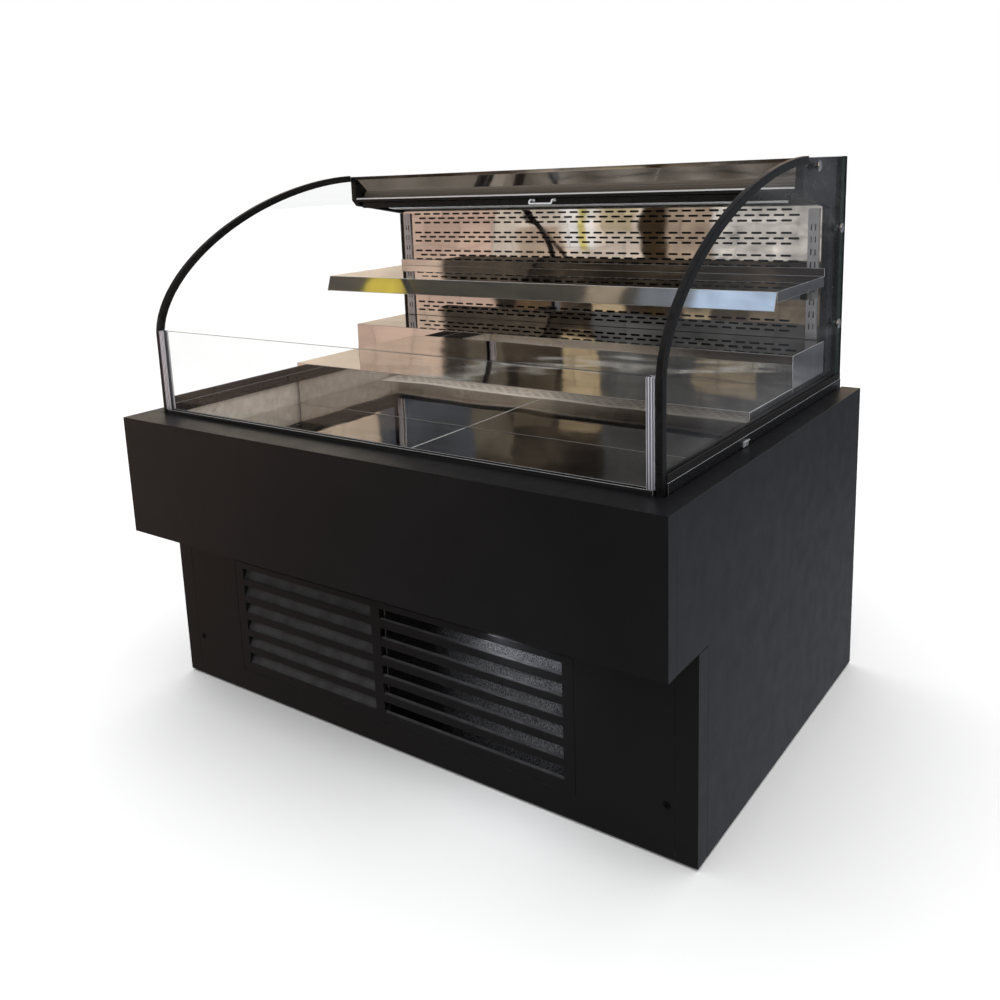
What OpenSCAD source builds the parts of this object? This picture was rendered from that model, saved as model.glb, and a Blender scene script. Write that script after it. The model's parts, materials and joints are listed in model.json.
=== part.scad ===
// Refrigerated open deli case, self-service, with a night curtain.
// X runs along the case, the shopper stands on the -Y side, Z is up.
// The origin is on the floor, at the centre of the case's outline.

/* [Cabinet] */
// Overall width of the cabinet
case_w = 1220; // [1100:10:1400]
// Overall depth of the cabinet
case_d = 900; // [880:5:960]
// Overall height, to the top of the end glass trim
case_h = 1080; // [1060:5:1120]
// Height of the ledge around the glass
ledge_h = 611; // [605:1:620]
// Height of the underside of the overhanging upper front panel
over_z = 365; // [350:1:400]
// How far the base stands back under the overhang
recess = 104; // [80:1:120]
// Thickness of the painted sheet panels
sheet = 1.5; // [1:0.5:2]
// Gap between the panels and the floor
kick = 4; // [3:1:8]

/* [Service grille] */
// Left edge of the removable louvred panel
grille_x0 = -428; // [-450:1:-400]
// Right edge of the removable louvred panel
grille_x1 = 392; // [370:1:420]
// Bottom edge of the louvred panel
grille_z0 = 53; // [40:1:60]
// Top edge of the louvred panel
grille_z1 = 299; // [290:1:320]
// Height of each louvre slot
slot_h = 24; // [16:1:28]
// Spacing of the louvre slots
slot_pitch = 38; // [34:1:42]

/* [Display space] */
// Height of the deck pans
deck_z = 555.5; // [550:0.5:560]
// Position of the joint between the two deck pans
pan_joint_x = -55; // [-100:1:100]
// Height of the lower display step
step1_z = 653; // [645:1:665]
// Front of the lower display step
step1_y = -10; // [-20:1:10]
// Height of the upper display step
step2_z = 715; // [700:1:725]
// Front of the upper display step
step2_y = 205; // [195:1:215]
// Height of the upper shelf
shelf_z = 845; // [835:1:860]
// Front edge of the upper shelf
shelf_y = 118; // [100:1:130]

/* [Glass] */
// Outer face of each end glass, measured from the middle
glass_x = 566; // [560:1:570]
// Thickness of the end glass
glass_t = 8; // [6:1:8]
// Front face of the front glass
glass_y = -378; // [-385:1:-370]
// Top edge of the front glass
front_glass_z = 784; // [770:1:800]
// Height at which the end glass starts to curve back
curve_z = 775; // [760:1:790]
// Roundness of the curve of the end glass
curve_n = 1.78; // [1.6:0.02:2.2]

/* [Canopy] */
// Front edge of the canopy
canopy_y = 220; // [200:1:240]
// Height of the underside of the canopy's front trim
canopy_z = 1016; // [1005:1:1020]

/* [Night curtain] */
// Radius of the wound roller
roller_r = 20; // [16:1:22]
// How far the curtain pulls out
curtain_pull = 600; // [500:10:610]

/* [Fans] */
// Radius of the condenser fan
cond_fan_r = 108; // [90:1:112]
// Radius of the evaporator fans
evap_fan_r = 56; // [50:1:60]

/* [Hidden] */
$fn = 48;
hw = case_w / 2;
fy = -case_d / 2;
by = case_d / 2;
base_y = fy + recess;
gi = glass_x - glass_t;
top_z = case_h - 2.5;
inner_x = 552.5;
panel_y = 392;
curve_y = 230;
post_w = 39;
foot_x = 555;
foot_yf = -296;
foot_yr = 400;
roller_y = 288;
roller_z = 1046;
cond_x = 170;
cond_z = 178;
fan_xs = [-240, 240];
evap_z = 576;
slot_z0 = 85;
cols = [[-405, -48], [-27, 371]];

// ---------- helpers ----------

// Box from its lowest corner to its highest corner
module bx(a, b) { translate(a) cube([b[0] - a[0], b[1] - a[1], b[2] - a[2]]); }

// Extrude a profile drawn in Y and Z from x0 to x1
module yz(x0, x1) { translate([x0, 0, 0]) rotate([90, 0, 90]) linear_extrude(x1 - x0) children(); }

// Both ends of the case
module both() { children(); mirror([1, 0, 0]) children(); }

// Upright ring or rod with its axis along Y
module rod_y(x, z, y0, y1, r) { translate([x, y1, z]) rotate([90, 0, 0]) cylinder(r = r, h = y1 - y0); }

// Rod with its axis along X
module rod_x(y, z, x0, x1, r) { translate([x0, y, z]) rotate([0, 90, 0]) cylinder(r = r, h = x1 - x0); }

// Curve of the end glass, pulled in by d from the glass edge
function curve(d, s = 36) = [for (i = [0:s]) let(t = 90 * i / s)
  [curve_y - (curve_y - glass_y - d) * pow(cos(t), 2 / curve_n),
   curve_z + (top_z - d - curve_z) * pow(sin(t), 2 / curve_n)]];

function glass_outline() = concat([[glass_y, 611]], curve(0), [[448, top_z], [448, 611]]);

// Pipe through a list of points
module pipe(pts, r) {
  for (i = [0:len(pts) - 2]) {
    a = pts[i]; b = pts[i + 1]; v = b - a; l = norm(v);
    translate(a) rotate([0, acos(v[2] / l), atan2(v[1], v[0])]) cylinder(r = r, h = l, $fn = 20);
  }
  for (i = [1:len(pts) - 2]) translate(pts[i]) sphere(r = r, $fn = 20);
}

// ---------- base and panels ----------

module base_pan() color("#8d9093") difference() {
  union() {
    bx([-600, base_y + 8, 14], [600, 430, 16]);
    bx([-600, base_y + 8, 16], [600, base_y + 10, 34]);
    bx([-600, 428, 16], [600, 430, 34]);
  }
  for (x = [-foot_x, foot_x], y = [foot_yf, foot_yr])
    translate([x, y, 10]) cylinder(r = 10, h = 10);
}

module upright(x, y) difference() {
  bx([x - 20, y - 20, 16], [x + 20, y + 20, 470]);
  bx([x - 17, y - 17, 24], [x + 17, y + 17, 471]);
  translate([x, y, 10]) cylinder(r = 6.06, h = 20);
}

module base_frame() color("#3a3b3d") {
  for (x = [-foot_x, foot_x], y = [foot_yf, foot_yr]) upright(x, y);
  for (y = [foot_yf, foot_yr]) bx([-foot_x + 20.4, y - 15, 440], [foot_x - 20.4, y + 15, 470]);
  for (x = [-foot_x, foot_x]) bx([x - 15, foot_yf + 20.4, 440], [x + 15, foot_yr - 20.4, 470]);
  bx([-150, foot_yf + 15.4, 440], [-120, foot_yr - 15.4, 470]);
}

module side_panel() {
  yz(hw - sheet, hw) polygon([[fy + 27.5, over_z + 0.4], [fy + 27.5, ledge_h - sheet],
    [by, ledge_h - sheet], [by, kick], [base_y + post_w - 4, kick], [base_y + post_w - 4, over_z + 0.4]]);
  bx([572, glass_y - 4, ledge_h - sheet], [hw, by, ledge_h]);
  bx([572, glass_y - 4, ledge_h - 14], [572 + sheet, 433.6, ledge_h - sheet]);
  bx([hw - 18, by - sheet, kick], [hw - sheet, by, ledge_h - sheet]);
}
module side_panel_left() color("#17181a") mirror([1, 0, 0]) side_panel();
module side_panel_right() color("#17181a") side_panel();

module front_upper_panel() color("#1a1b1d") {
  bx([-hw, fy, over_z], [hw, fy + sheet, ledge_h]);
  bx([-hw, fy, ledge_h - sheet], [hw, glass_y - 4.5, ledge_h]);
  bx([-hw + sheet + 0.2, fy, over_z], [hw - sheet - 0.2, base_y - 0.4, over_z + sheet]);
  for (x = [-hw, hw - sheet]) bx([x, fy, over_z], [x + sheet, fy + 27, ledge_h]);
  bx([-hw + 20, base_y - 0.4 - sheet, over_z], [hw - 20, base_y - 0.4, over_z + 40]);
}

module front_lower_panel() color("#17181a") difference() {
  union() {
    bx([-hw + post_w + 0.5, base_y, kick], [hw - post_w - 0.5, base_y + sheet, over_z - 0.5]);
    bx([-hw + post_w + 0.5, base_y, kick], [hw - post_w - 0.5, base_y + 7.5, kick + sheet]);
    bx([grille_x0 - 14, base_y + sheet, grille_z0 - 14], [grille_x1 + 14, base_y + 2 * sheet, grille_z1 + 14]);
  }
  bx([grille_x0 - 1.5, base_y - 1, grille_z0 - 1.5], [grille_x1 + 1.5, base_y + sheet, grille_z1 + 1.5]);
  bx([grille_x0 + 10, base_y - 1, grille_z0 + 10], [grille_x1 - 10, base_y + 4, grille_z1 - 8]);
  for (x = [-557, 557]) rod_y(x, 96, base_y - 1, base_y + 3, 4);
}

module corner_posts() color("#17181a") both() translate([0, 0, kick])
  linear_extrude(over_z - 0.5 - kick) polygon([[hw - post_w, base_y], [hw, base_y], [hw, base_y + post_w - 4.5],
    [hw - sheet, base_y + post_w - 4.5], [hw - sheet, base_y + sheet], [hw - post_w, base_y + sheet]]);

module rear_panel() color("#232427") difference() {
  union() {
    bx([-608, 434, kick], [608, 434 + sheet, 606.2]);
    bx([-553, 434, 604.7], [553, by - 2, 606.2]);
  }
  for (i = [0:7]) for (x = [-480, -180]) bx([x, 430, 90 + i * 22], [x + 240, 440, 98 + i * 22]);
  rod_y(300, 110, 430, 440, 14.6);
  rod_y(470, 120, 430, 440, 10.5);
  bx([436.5, 430, 181.5], [463.5, 440, 208.5]);
}

// ---------- insulated well ----------

module insulation() color("#e6dfc4") {
  difference() {
    bx([-598, glass_y - 6, 472], [598, 403.5, 500]);
    translate([300, 250, 470]) cylinder(r = 17, h = 40);
    translate([-420, 380, 470]) cylinder(r = 15, h = 40);
  }
  bx([-598, -446, 472], [598, glass_y - 6.5, 605]);
  for (s = [-1, 1]) bx([s > 0 ? 561 : -598, glass_y - 6, 500.5], [s > 0 ? 598 : -561, 403.5, 596.5]);
  bx([-598, 404, 472], [598, 433.5, 596.5]);
  bx([-540, 404, 606.8], [540, 447.5, 1070]);
}

module tub_liner() color("#b9bbbc") difference() {
  union() {
    difference() {
      bx([-560.5, glass_y - 6, 500.4], [560.5, 403.5, 606]);
      bx([-559.3, glass_y - 4.8, 501.6], [559.3, 402.3, 610]);
    }
    for (s = [-1, 1]) bx([s > 0 ? 545 : -559.3, -366, 541], [s > 0 ? 559.3 : -545, -12, 544.8]);
    bx([pan_joint_x - 2, -299, 501.6], [pan_joint_x + 2, -12, 544.8]);
    bx([-559.3, glass_y - 4.8, 604.8], [559.3, glass_y + 10, 606]);
    bx([-559.3, glass_y - 4.8, 549], [559.3, glass_y, 552.8]);
  }
  translate([300, 250, 495]) cylinder(r = 14.2, h = 10);
  translate([-420, 380, 495]) cylinder(r = 14, h = 10);
}

// Three rows of air slots, the middle row offset
module slot_rows(z0) for (r = [0:2]) for (k = [0:12])
  translate([-484 + k * 75 + (r % 2) * 18, z0 - r * 11]) square([52, 4.5]);

module perforated_back_panel() color("#c4b3a4") {
  translate([0, panel_y + 1.2, 0]) rotate([90, 0, 0]) linear_extrude(1.2) difference() {
    translate([-540, 560]) square([1080, 425]);
    for (z = [974.8, 927.8, 881.8, 749]) slot_rows(z);
  }
  bx([-540, panel_y, 985], [540, 403.5, 986.2]);
}

module rear_posts() color("#141416") both() difference() {
  bx([541, 394, 606.4], [553.5, 448, 979.5]);
  for (z = [938, 746]) rod_x(428, z, 530, 560, 5);
}

// ---------- shelf ----------

module upper_shelf() color("#c9ccce") {
  yz(-550, 550) polygon([[387.6, shelf_z + 16], [386.1, shelf_z + 16], [386.1, shelf_z], [shelf_y, shelf_z],
    [shelf_y - 12, shelf_z - 34], [shelf_y - 10.6, shelf_z - 34.4], [shelf_y + 1.1, shelf_z - 1.5], [387.6, shelf_z - 1.5]]);
  for (x = [-550, 548.5]) bx([x, shelf_y + 4, shelf_z - 20], [x + 1.5, 387.6, shelf_z - 1.5]);
}

// Upright strip and arm at each end of the back panel
module shelf_brackets() color("#8f9295") for (x = [-525, 525]) {
  bx([x - 11, panel_y - 4, 716], [x + 11, panel_y, 978]);
  yz(x - 1.5, x + 1.5) polygon([[388, shelf_z - 1.8], [150, shelf_z - 1.8], [150, shelf_z - 14], [388, shelf_z - 50]]);
}

// ---------- canopy ----------

module canopy_end_caps() color("#0f0f11") both() difference() {
  yz(543, 557.5) polygon([[canopy_y, top_z - 0.5], [canopy_y, canopy_z + 4], [canopy_y + 14, canopy_z - 10],
    [394, 980], [448, 980], [448, top_z - 0.5]]);
  rod_x(278, 1061, 540, 560, 5);
}

module canopy_shell() color("#1c1c1f") {
  bx([-568, by - sheet, 604.7], [568, by, top_z - 0.5]);
  bx([-542.6, canopy_y + 16.4, top_z - 2], [542.6, 448, top_z - 0.5]);
  yz(-542.6, 542.6) polygon([[canopy_y + 46, canopy_z - 3.5], [canopy_y + 46, canopy_z - 5], [389.6, 987.4], [389.6, 988.9]]);
  yz(-542.6, 542.6) polygon([[canopy_y + 46, canopy_z - 3.2], [canopy_y + 47.5, canopy_z - 3.2], [canopy_y + 47.5, canopy_z + 12], [canopy_y + 46, canopy_z + 12]]);
}

module canopy_fascia() color("#a39a90") yz(-542.6, 542.6)
  polygon([[canopy_y + 16, top_z - 0.5], [canopy_y, top_z - 0.5], [canopy_y, top_z - 8], [canopy_y + 4, top_z - 8],
    [canopy_y + 24, canopy_z + 10.4], [canopy_y + 25.6, canopy_z + 10.4], [canopy_y + 6, top_z - 6.5],
    [canopy_y + 1.5, top_z - 6.5], [canopy_y + 1.5, top_z - 2], [canopy_y + 16, top_z - 2]]);

module canopy_trim() color("#d5d7d9") yz(-542.6, 542.6)
  polygon([[canopy_y, canopy_z], [canopy_y + 30, canopy_z], [canopy_y + 30, canopy_z + 10], [canopy_y + 2, canopy_z + 10], [canopy_y, canopy_z + 8]]);

module led_lamps() color("#f4f6f8") {
  yz(-500, 500) polygon([[286, 1007], [314, 1001.6], [311, 993], [290, 997]]);
  bx([-500, shelf_y + 14, shelf_z - 14], [500, shelf_y + 30, shelf_z - 1.6]);
}

module curtain_brackets() color("#9a9da0") both() difference() {
  union() {
    bx([530, roller_y - 16, roller_z - 30], [533, roller_y + 16, top_z - 2.2]);
    bx([530, roller_y - 16, roller_z - 6], [542.8, roller_y + 16, roller_z + 6]);
  }
  rod_x(roller_y, roller_z, 525, 537, 5.06);
}

// ---------- glass ----------

module end_glass() difference() {
  yz(gi, glass_x) polygon(glass_outline());
  rod_x(278, 1061, 550, 575, 5);
  for (z = [938, 746]) rod_x(428, z, 550, 575, 5);
}
module end_glass_left() color("#cfe3e0", 0.3) mirror([1, 0, 0]) end_glass();
module end_glass_right() color("#cfe3e0", 0.3) end_glass();

module glass_edge_trims() color("#101012") both() difference() {
  yz(556.4, 567.6) polygon(concat([[glass_y - 2.5, 606.4]], [for (i = [0:35]) curve(-2.5)[i]], [[canopy_y - 1, case_h]],
    [[canopy_y - 1, top_z - 12]], [for (i = [35:-1:0]) curve(12)[i]], [[glass_y + 12, 606.4]]));
  yz(gi - 0.05, glass_x + 0.05) polygon(concat([[glass_y - 0.05, 610.9]], curve(-0.05), [[448, top_z + 0.05], [448, 610.9]]));
}

module glass_base_channels() color("#c2c6c9") {
  both() difference() {
    bx([554, glass_y + 12.4, 606.4], [570, 448, 628]);
    bx([gi - 0.05, glass_y, 610.95], [glass_x + 0.05, 450, 630]);
  }
  difference() {
    bx([-553.6, glass_y - 4, 606.4], [553.6, glass_y + 10, 619]);
    bx([-549.5, glass_y - 0.4, 609.6], [549.5, glass_y + 6.4, 620]);
  }
}

module glass_gaskets() color("#0c0c0d") both() {
  bx([glass_x + 0.05, glass_y + 12.4, 628], [glass_x + 3, 448, 640]);
  bx([gi - 3, glass_y + 12.4, 628], [gi - 0.05, 393.6, 640]);
}

module glass_buttons() color("#dfe2e4") both() {
  for (p = [[278, 1061], [428, 938], [428, 746]]) {
    rod_x(p[0], p[1], glass_x, glass_x + 4, 10);
    rod_x(p[0], p[1], p[0] == 278 ? 546 : 543, glass_x, 4.9);
  }
  for (z = [938, 746]) difference() {
    rod_x(428, z, 553.6, gi - 0.05, 9);
    rod_x(428, z, 553, gi + 1, 5);
  }
}

module front_glass_channels() color("#d3d6da") both() difference() {
  bx([543, glass_y - 4, 619.2], [556, glass_y + 10, front_glass_z]);
  bx([540, glass_y - 0.4, 610], [549.5, glass_y + 6.4, 800]);
}

module front_glass() color("#d8ece9", 0.25) bx([-549, glass_y, 610], [549, glass_y + 6, front_glass_z]);

// ---------- display deck ----------

module return_air_grille() color("#9fa1a3") difference() {
  bx([-inner_x, glass_y - 4.3, deck_z - 2.5], [inner_x, -300.5, deck_z]);
  for (k = [0:16]) for (r = [0:2]) bx([-520 + k * 61, -355 + r * 16, 540], [-476 + k * 61, -350 + r * 16, 560]);
}

// Sheet pan turned over, with its rim turned down
module pan(x0, x1) difference() {
  bx([x0, -299.5, 545], [x1, step1_y - 1.5, deck_z]);
  bx([x0 + 1.5, -298, 540], [x1 - 1.5, step1_y - 3, deck_z - 1.5]);
}
module deck_pan_left() color("#a8aaac") pan(-inner_x, pan_joint_x - 0.8);
module deck_pan_right() color("#a8aaac") pan(pan_joint_x + 0.8, inner_x);

// Step: tread, riser and closed end plates
module step(y0, y1, z, zr) difference() {
  bx([-inner_x, y0, 502.4], [inner_x, y1, z]);
  bx([-inner_x + 1.5, y0 + 1.5, 500], [inner_x - 1.5, y1 + 5, z - 1.5]);
  bx([-inner_x + 1.5, y0 - 5, 500], [inner_x - 1.5, y0 + 5, zr]);
}
module lower_step() color("#c8bdb2") step(step1_y, step2_y - 0.6, step1_z, 547);
module upper_step() color("#c8bdb2") step(step2_y, 387.4, step2_z, 642);

// ---------- evaporator ----------

module evaporator_coil() color("#b4b8ba") {
  difference() {
    bx([-470, 108, 504], [470, 330, 636]);
    for (i = [0:30]) bx([-462 + i * 30, 100, 510], [-440 + i * 30, 114, 630]);
  }
  for (z = [530, 570, 610]) for (y = [150, 210, 270]) for (s = [-1, 1])
    rod_x(y, z, s > 0 ? 470 : -488, s > 0 ? 488 : -470, 5);
}

module evaporator_fan_plate() color("#a9acae") difference() {
  bx([-545, 60, 502.4], [545, 61.5, 646]);
  for (x = fan_xs) rod_y(x, evap_z, 55, 66, evap_fan_r + 4);
}

// Motor with its shaft and three arms
module motor_evap(x) {
  rod_y(x, evap_z, 76, 100, 24);
  rod_y(x, evap_z, 50, 76, 4);
  for (a = [30, 150, 270]) translate([x, 0, evap_z]) rotate([0, a, 0]) {
    bx([20, 90, -4], [evap_fan_r + 12, 94, 4]);
    bx([evap_fan_r + 8, 61.5, -4], [evap_fan_r + 12, 94, 4]);
  }
}

module fan_motors() color("#2b2c2e") {
  for (x = fan_xs) motor_evap(x);
  rod_y(cond_x, cond_z, -198, -130, 38);
  rod_y(cond_x, cond_z, -236, -198, 5);
  for (a = [0, 90, 180, 270]) translate([cond_x, 0, cond_z]) rotate([0, a, 0]) {
    bx([30, -170, -5], [cond_fan_r + 8, -166, 5]);
    bx([cond_fan_r + 4, -203.5, -5], [cond_fan_r + 8, -166, 5]);
  }
}

// Axial fan with its axis along Y
module fan(x, z, y0, y1, r, hub, shaft, blades) difference() {
  union() {
    rod_y(x, z, y0, y1, hub);
    for (i = [0:blades - 1]) translate([x, (y0 + y1) / 2, z]) rotate([0, i * 360 / blades, 0])
      rotate([35, 0, 0]) bx([hub - 3, -1.5, -r * 0.3], [r * 0.93, 1.5, r * 0.3]);
  }
  rod_y(x, z, y0 - 30, y1 + 30, shaft + 0.06);
}
module evaporator_fan_left() color("#1d1e20") fan(fan_xs[0], evap_z, 53, 71, evap_fan_r, 17, 4, 5);
module evaporator_fan_right() color("#1d1e20") fan(fan_xs[1], evap_z, 53, 71, evap_fan_r, 17, 4, 5);
module condenser_fan() color("#1d1e20") fan(cond_x, cond_z, -234, -206, cond_fan_r, 30, 5, 5);

// ---------- condensing unit ----------

module condenser_coil() color("#9b9fa2") {
  difference() {
    bx([-40, -318, 50], [384, -275, 306]);
    for (i = [0:40]) bx([-36 + i * 10.3, -322, 58], [-31 + i * 10.3, -312, 298]);
  }
  for (z = [80, 130, 180, 230, 280]) rod_x(-296, z, -54, -40, 5);
}

module condenser_shroud() color("#77797c") difference() {
  bx([-40, -274.6, 50], [384, -203.5, 306]);
  bx([-38, -280, 52], [382, -205.5, 304]);
  rod_y(cond_x, cond_z, -220, -190, cond_fan_r + 3);
}

module compressor() color("#121213") {
  translate([-250, 90, 42]) cylinder(r = 88, h = 150);
  translate([-250, 90, 192]) intersection() { sphere(r = 88); translate([0, 0, 0]) cylinder(r = 90, h = 60); }
  bx([-355, -5, 36], [-145, 185, 42]);
  bx([-176, 60, 100], [-130, 120, 160]);
}

module compressor_mounts() color("#0d0d0e") for (x = [-340, -160]) for (y = [10, 170]) {
  translate([x, y, 16]) cylinder(r = 14, h = 20);
  translate([x, y, 42]) cylinder(r = 9, h = 8);
}

module filter_drier() color("#b0703f") {
  translate([60, 60, 150]) rotate([0, 90, 0]) cylinder(r = 20, h = 130);
  translate([48, 60, 150]) rotate([0, 90, 0]) cylinder(r = 8, h = 154);
}

module refrigerant_lines() color("#b87333") {
  pipe([[-250, 90, 252.4], [-250, 90, 330], [-250, -296, 330], [-100, -296, 330], [-100, -296, 280], [-54.2, -296, 280]], 5);
  pipe([[-54.2, -296, 80], [-110, -296, 80], [-110, 60, 80], [-110, 60, 150], [47.8, 60, 150]], 5);
  pipe([[202.2, 60, 150], [260, 60, 150], [260, 60, 410], [-425, 60, 410], [-425, 380, 410], [-425, 380, 530], [-500, 380, 530], [-500, 210, 530], [-488.2, 210, 530]], 4);
  pipe([[-161.8, 90, 80], [-70, 90, 80], [-70, 90, 380], [-413, 90, 380], [-413, 380, 380], [-413, 380, 570], [-520, 380, 570], [-520, 150, 570], [-488.2, 150, 570]], 5);
}

module electrical_box() color("#5b5e61") {
  difference() {
    bx([400, 330, 60], [560, 375, 260]);
    bx([402, 332, 62], [558, 380, 258]);
  }
  difference() {
    bx([433, 435.8, 178], [467, 441, 212]);
    bx([437, 430, 182], [463, 445, 208]);
  }
}

module controller() color("#202124") {
  bx([330, 435.6, 330], [430, 446, 372]);
  color("#0a1a22") bx([338, 446, 338], [385, 447, 364]);
}

module cable_gland() color("#1b1b1d") difference() {
  union() {
    rod_y(470, 120, 424, 449, 10.2);
    translate([470, 449.5, 120]) rotate([90, 30, 0]) cylinder(r = 15, h = 13.9, $fn = 6);
    translate([470, 433.9, 120]) rotate([90, 30, 0]) cylinder(r = 14, h = 6, $fn = 6);
  }
  rod_y(470, 120, 420, 455, 5.5);
}

module drain_pipe() color("#d9dbdc") difference() {
  union() {
    translate([300, 250, 110]) cylinder(r = 14, h = 392);
    translate([300, 250, 502]) cylinder(r = 13.9, h = 0.8);
    rod_y(300, 110, 250, 436, 14);
    rod_y(300, 110, 436, 449.9, 16);
    translate([300, 250, 110]) sphere(r = 14.6);
  }
  translate([300, 250, 112]) cylinder(r = 11.5, h = 400);
  rod_y(300, 110, 251, 455, 11.5);
}

module panel_screws() color("#0a0a0b") {
  for (x = [-557, 557]) {
    rod_y(x, 96, base_y - 2, base_y, 7);
    rod_y(x, 96, base_y, base_y + 12, 3.9);
  }
}

// Removable panel with angled louvre blades
module louvre_grille() color("#17181a") {
  difference() {
    bx([grille_x0, base_y, grille_z0], [grille_x1, base_y + 1.3, grille_z1]);
    for (c = cols) for (k = [0:5])
      bx([c[0], base_y - 6, slot_z0 - slot_h / 2 + k * slot_pitch], [c[1], base_y + 6, slot_z0 + slot_h / 2 + k * slot_pitch]);
  }
  for (c = cols) for (k = [0:5]) translate([0, base_y + 0.9, slot_z0 - slot_h / 2 + k * slot_pitch])
    yz(c[0] - 4, c[1] + 4) polygon([[0, 0], [0, -2], [14, 14], [13, 15]]);
}

// ---------- night curtain ----------

module curtain_bar() color("#1b1c20") difference() {
  bx([-528, canopy_y + 6, 1001], [528, canopy_y + 28, canopy_z - 0.6]);
  bx([-530, canopy_y + 9, 1004], [530, canopy_y + 25, 1012]);
}

// Pull handle under the middle of the bar
module curtain_handle() color("#e9eaee") {
  for (x = [-31, 23]) bx([x, canopy_y - 8, 1004], [x + 6, canopy_y + 6, 1014]);
  bx([-31, canopy_y - 14, 1002], [29, canopy_y - 8, 1014]);
}

module curtain_roller() color("#b8bcc2") {
  rod_x(roller_y, roller_z, -526, 526, roller_r);
  for (s = [-1, 1]) rod_x(roller_y, roller_z, s > 0 ? 526 : -536, s > 0 ? 536 : -526, 5);
}

module curtain_fabric() color("#b9bdc6") yz(-520, 520)
  polygon([[roller_y - roller_r - 1.6, roller_z], [canopy_y + 37.5, canopy_z + 0.3], [canopy_y + 28.4, canopy_z - 6.8],
    [canopy_y + 28.4, canopy_z - 8], [canopy_y + 38.3, canopy_z - 0.3], [roller_y - roller_r - 0.6, roller_z]]);

// ---------- controls and feet ----------

module power_switch() color("#8a1512") translate([450, 0, 195]) difference() {
  rod_x(442, 0, -12.6, 12.6, 12.4);
  bx([-14, 447.6, -13], [14, 460, 13]);
  bx([-14, 425, -13], [14, 436, 13]);
}

module foot(x, y) translate([x, y, 0]) {
  cylinder(r = 24, h = 5);
  translate([0, 0, 5]) cylinder(r1 = 24, r2 = 12, h = 4);
  translate([0, 0, 9]) cylinder(r = 6, h = 36);
}
module foot_front_left() color("#3b3c3e") foot(-foot_x, foot_yf);
module foot_front_right() color("#3b3c3e") foot(foot_x, foot_yf);
module foot_rear_left() color("#3b3c3e") foot(-foot_x, foot_yr);
module foot_rear_right() color("#3b3c3e") foot(foot_x, foot_yr);

base_pan();
base_frame();
side_panel_left();
side_panel_right();
front_upper_panel();
front_lower_panel();
corner_posts();
rear_panel();
insulation();
tub_liner();
perforated_back_panel();
rear_posts();
upper_shelf();
shelf_brackets();
canopy_shell();
canopy_fascia();
canopy_trim();
canopy_end_caps();
led_lamps();
curtain_brackets();
end_glass_left();
end_glass_right();
glass_edge_trims();
glass_base_channels();
glass_gaskets();
glass_buttons();
front_glass_channels();
return_air_grille();
evaporator_coil();
evaporator_fan_plate();
fan_motors();
condenser_coil();
condenser_shroud();
compressor();
compressor_mounts();
filter_drier();
refrigerant_lines();
electrical_box();
controller();
cable_gland();
drain_pipe();
panel_screws();
louvre_grille();
condenser_fan();
evaporator_fan_left();
evaporator_fan_right();
deck_pan_left();
deck_pan_right();
lower_step();
upper_step();
front_glass();
curtain_bar();
curtain_handle();
curtain_roller();
curtain_fabric();
power_switch();
foot_front_left();
foot_front_right();
foot_rear_left();
foot_rear_right();
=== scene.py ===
import json
import math
import random

import bmesh
import bpy
import numpy as np
from mathutils import Matrix, Vector


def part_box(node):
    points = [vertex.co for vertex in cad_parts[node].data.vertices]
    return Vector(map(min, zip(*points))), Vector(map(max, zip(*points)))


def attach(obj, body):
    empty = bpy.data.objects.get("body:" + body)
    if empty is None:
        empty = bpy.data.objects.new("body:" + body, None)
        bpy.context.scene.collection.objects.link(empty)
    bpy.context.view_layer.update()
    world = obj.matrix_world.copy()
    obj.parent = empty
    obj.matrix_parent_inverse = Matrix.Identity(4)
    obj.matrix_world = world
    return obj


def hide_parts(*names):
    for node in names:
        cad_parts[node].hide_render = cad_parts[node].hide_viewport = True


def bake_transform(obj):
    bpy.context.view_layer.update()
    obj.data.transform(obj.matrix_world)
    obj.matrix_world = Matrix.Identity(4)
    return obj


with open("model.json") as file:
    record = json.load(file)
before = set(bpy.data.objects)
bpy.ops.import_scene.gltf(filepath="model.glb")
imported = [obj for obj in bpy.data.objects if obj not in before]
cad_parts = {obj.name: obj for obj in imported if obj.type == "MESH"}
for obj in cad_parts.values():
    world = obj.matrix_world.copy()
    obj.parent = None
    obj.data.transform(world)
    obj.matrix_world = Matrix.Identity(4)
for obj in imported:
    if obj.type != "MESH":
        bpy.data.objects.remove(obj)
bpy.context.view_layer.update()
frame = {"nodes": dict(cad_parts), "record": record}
nodes = frame["nodes"]
scene = bpy.context.scene
rng = random.Random(7)

# ------------------------------------------------------------------ camera

yaw, pitch, roll = -0.6436, 0.2029, -0.0414
fwd = Vector((math.sin(yaw) * math.cos(pitch), math.cos(yaw) * math.cos(pitch), -math.sin(pitch)))
right = Vector((math.cos(yaw), -math.sin(yaw), 0))
up = right.cross(fwd)
r2 = right * math.cos(roll) + up * math.sin(roll)
u2 = -right * math.sin(roll) + up * math.cos(roll)
cam_data = bpy.data.cameras.new("camera")
cam_data.lens, cam_data.sensor_width = 35.98, 36
cam_data.shift_x, cam_data.shift_y = 0.030, -0.12
cam = bpy.data.objects.new("camera", cam_data)
m = Matrix.Identity(4)
for i, axis in enumerate((r2, u2, -fwd)):
    for j in range(3):
        m[j][i] = axis[j]
m.translation = Vector((1.1688, -1.6259, 1.0721))
cam.matrix_world = m
scene.collection.objects.link(cam)
scene.camera = cam
scene.view_settings.view_transform = "Standard"
scene.view_settings.look = "None"

# ------------------------------------------------------------------ node helpers


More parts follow.
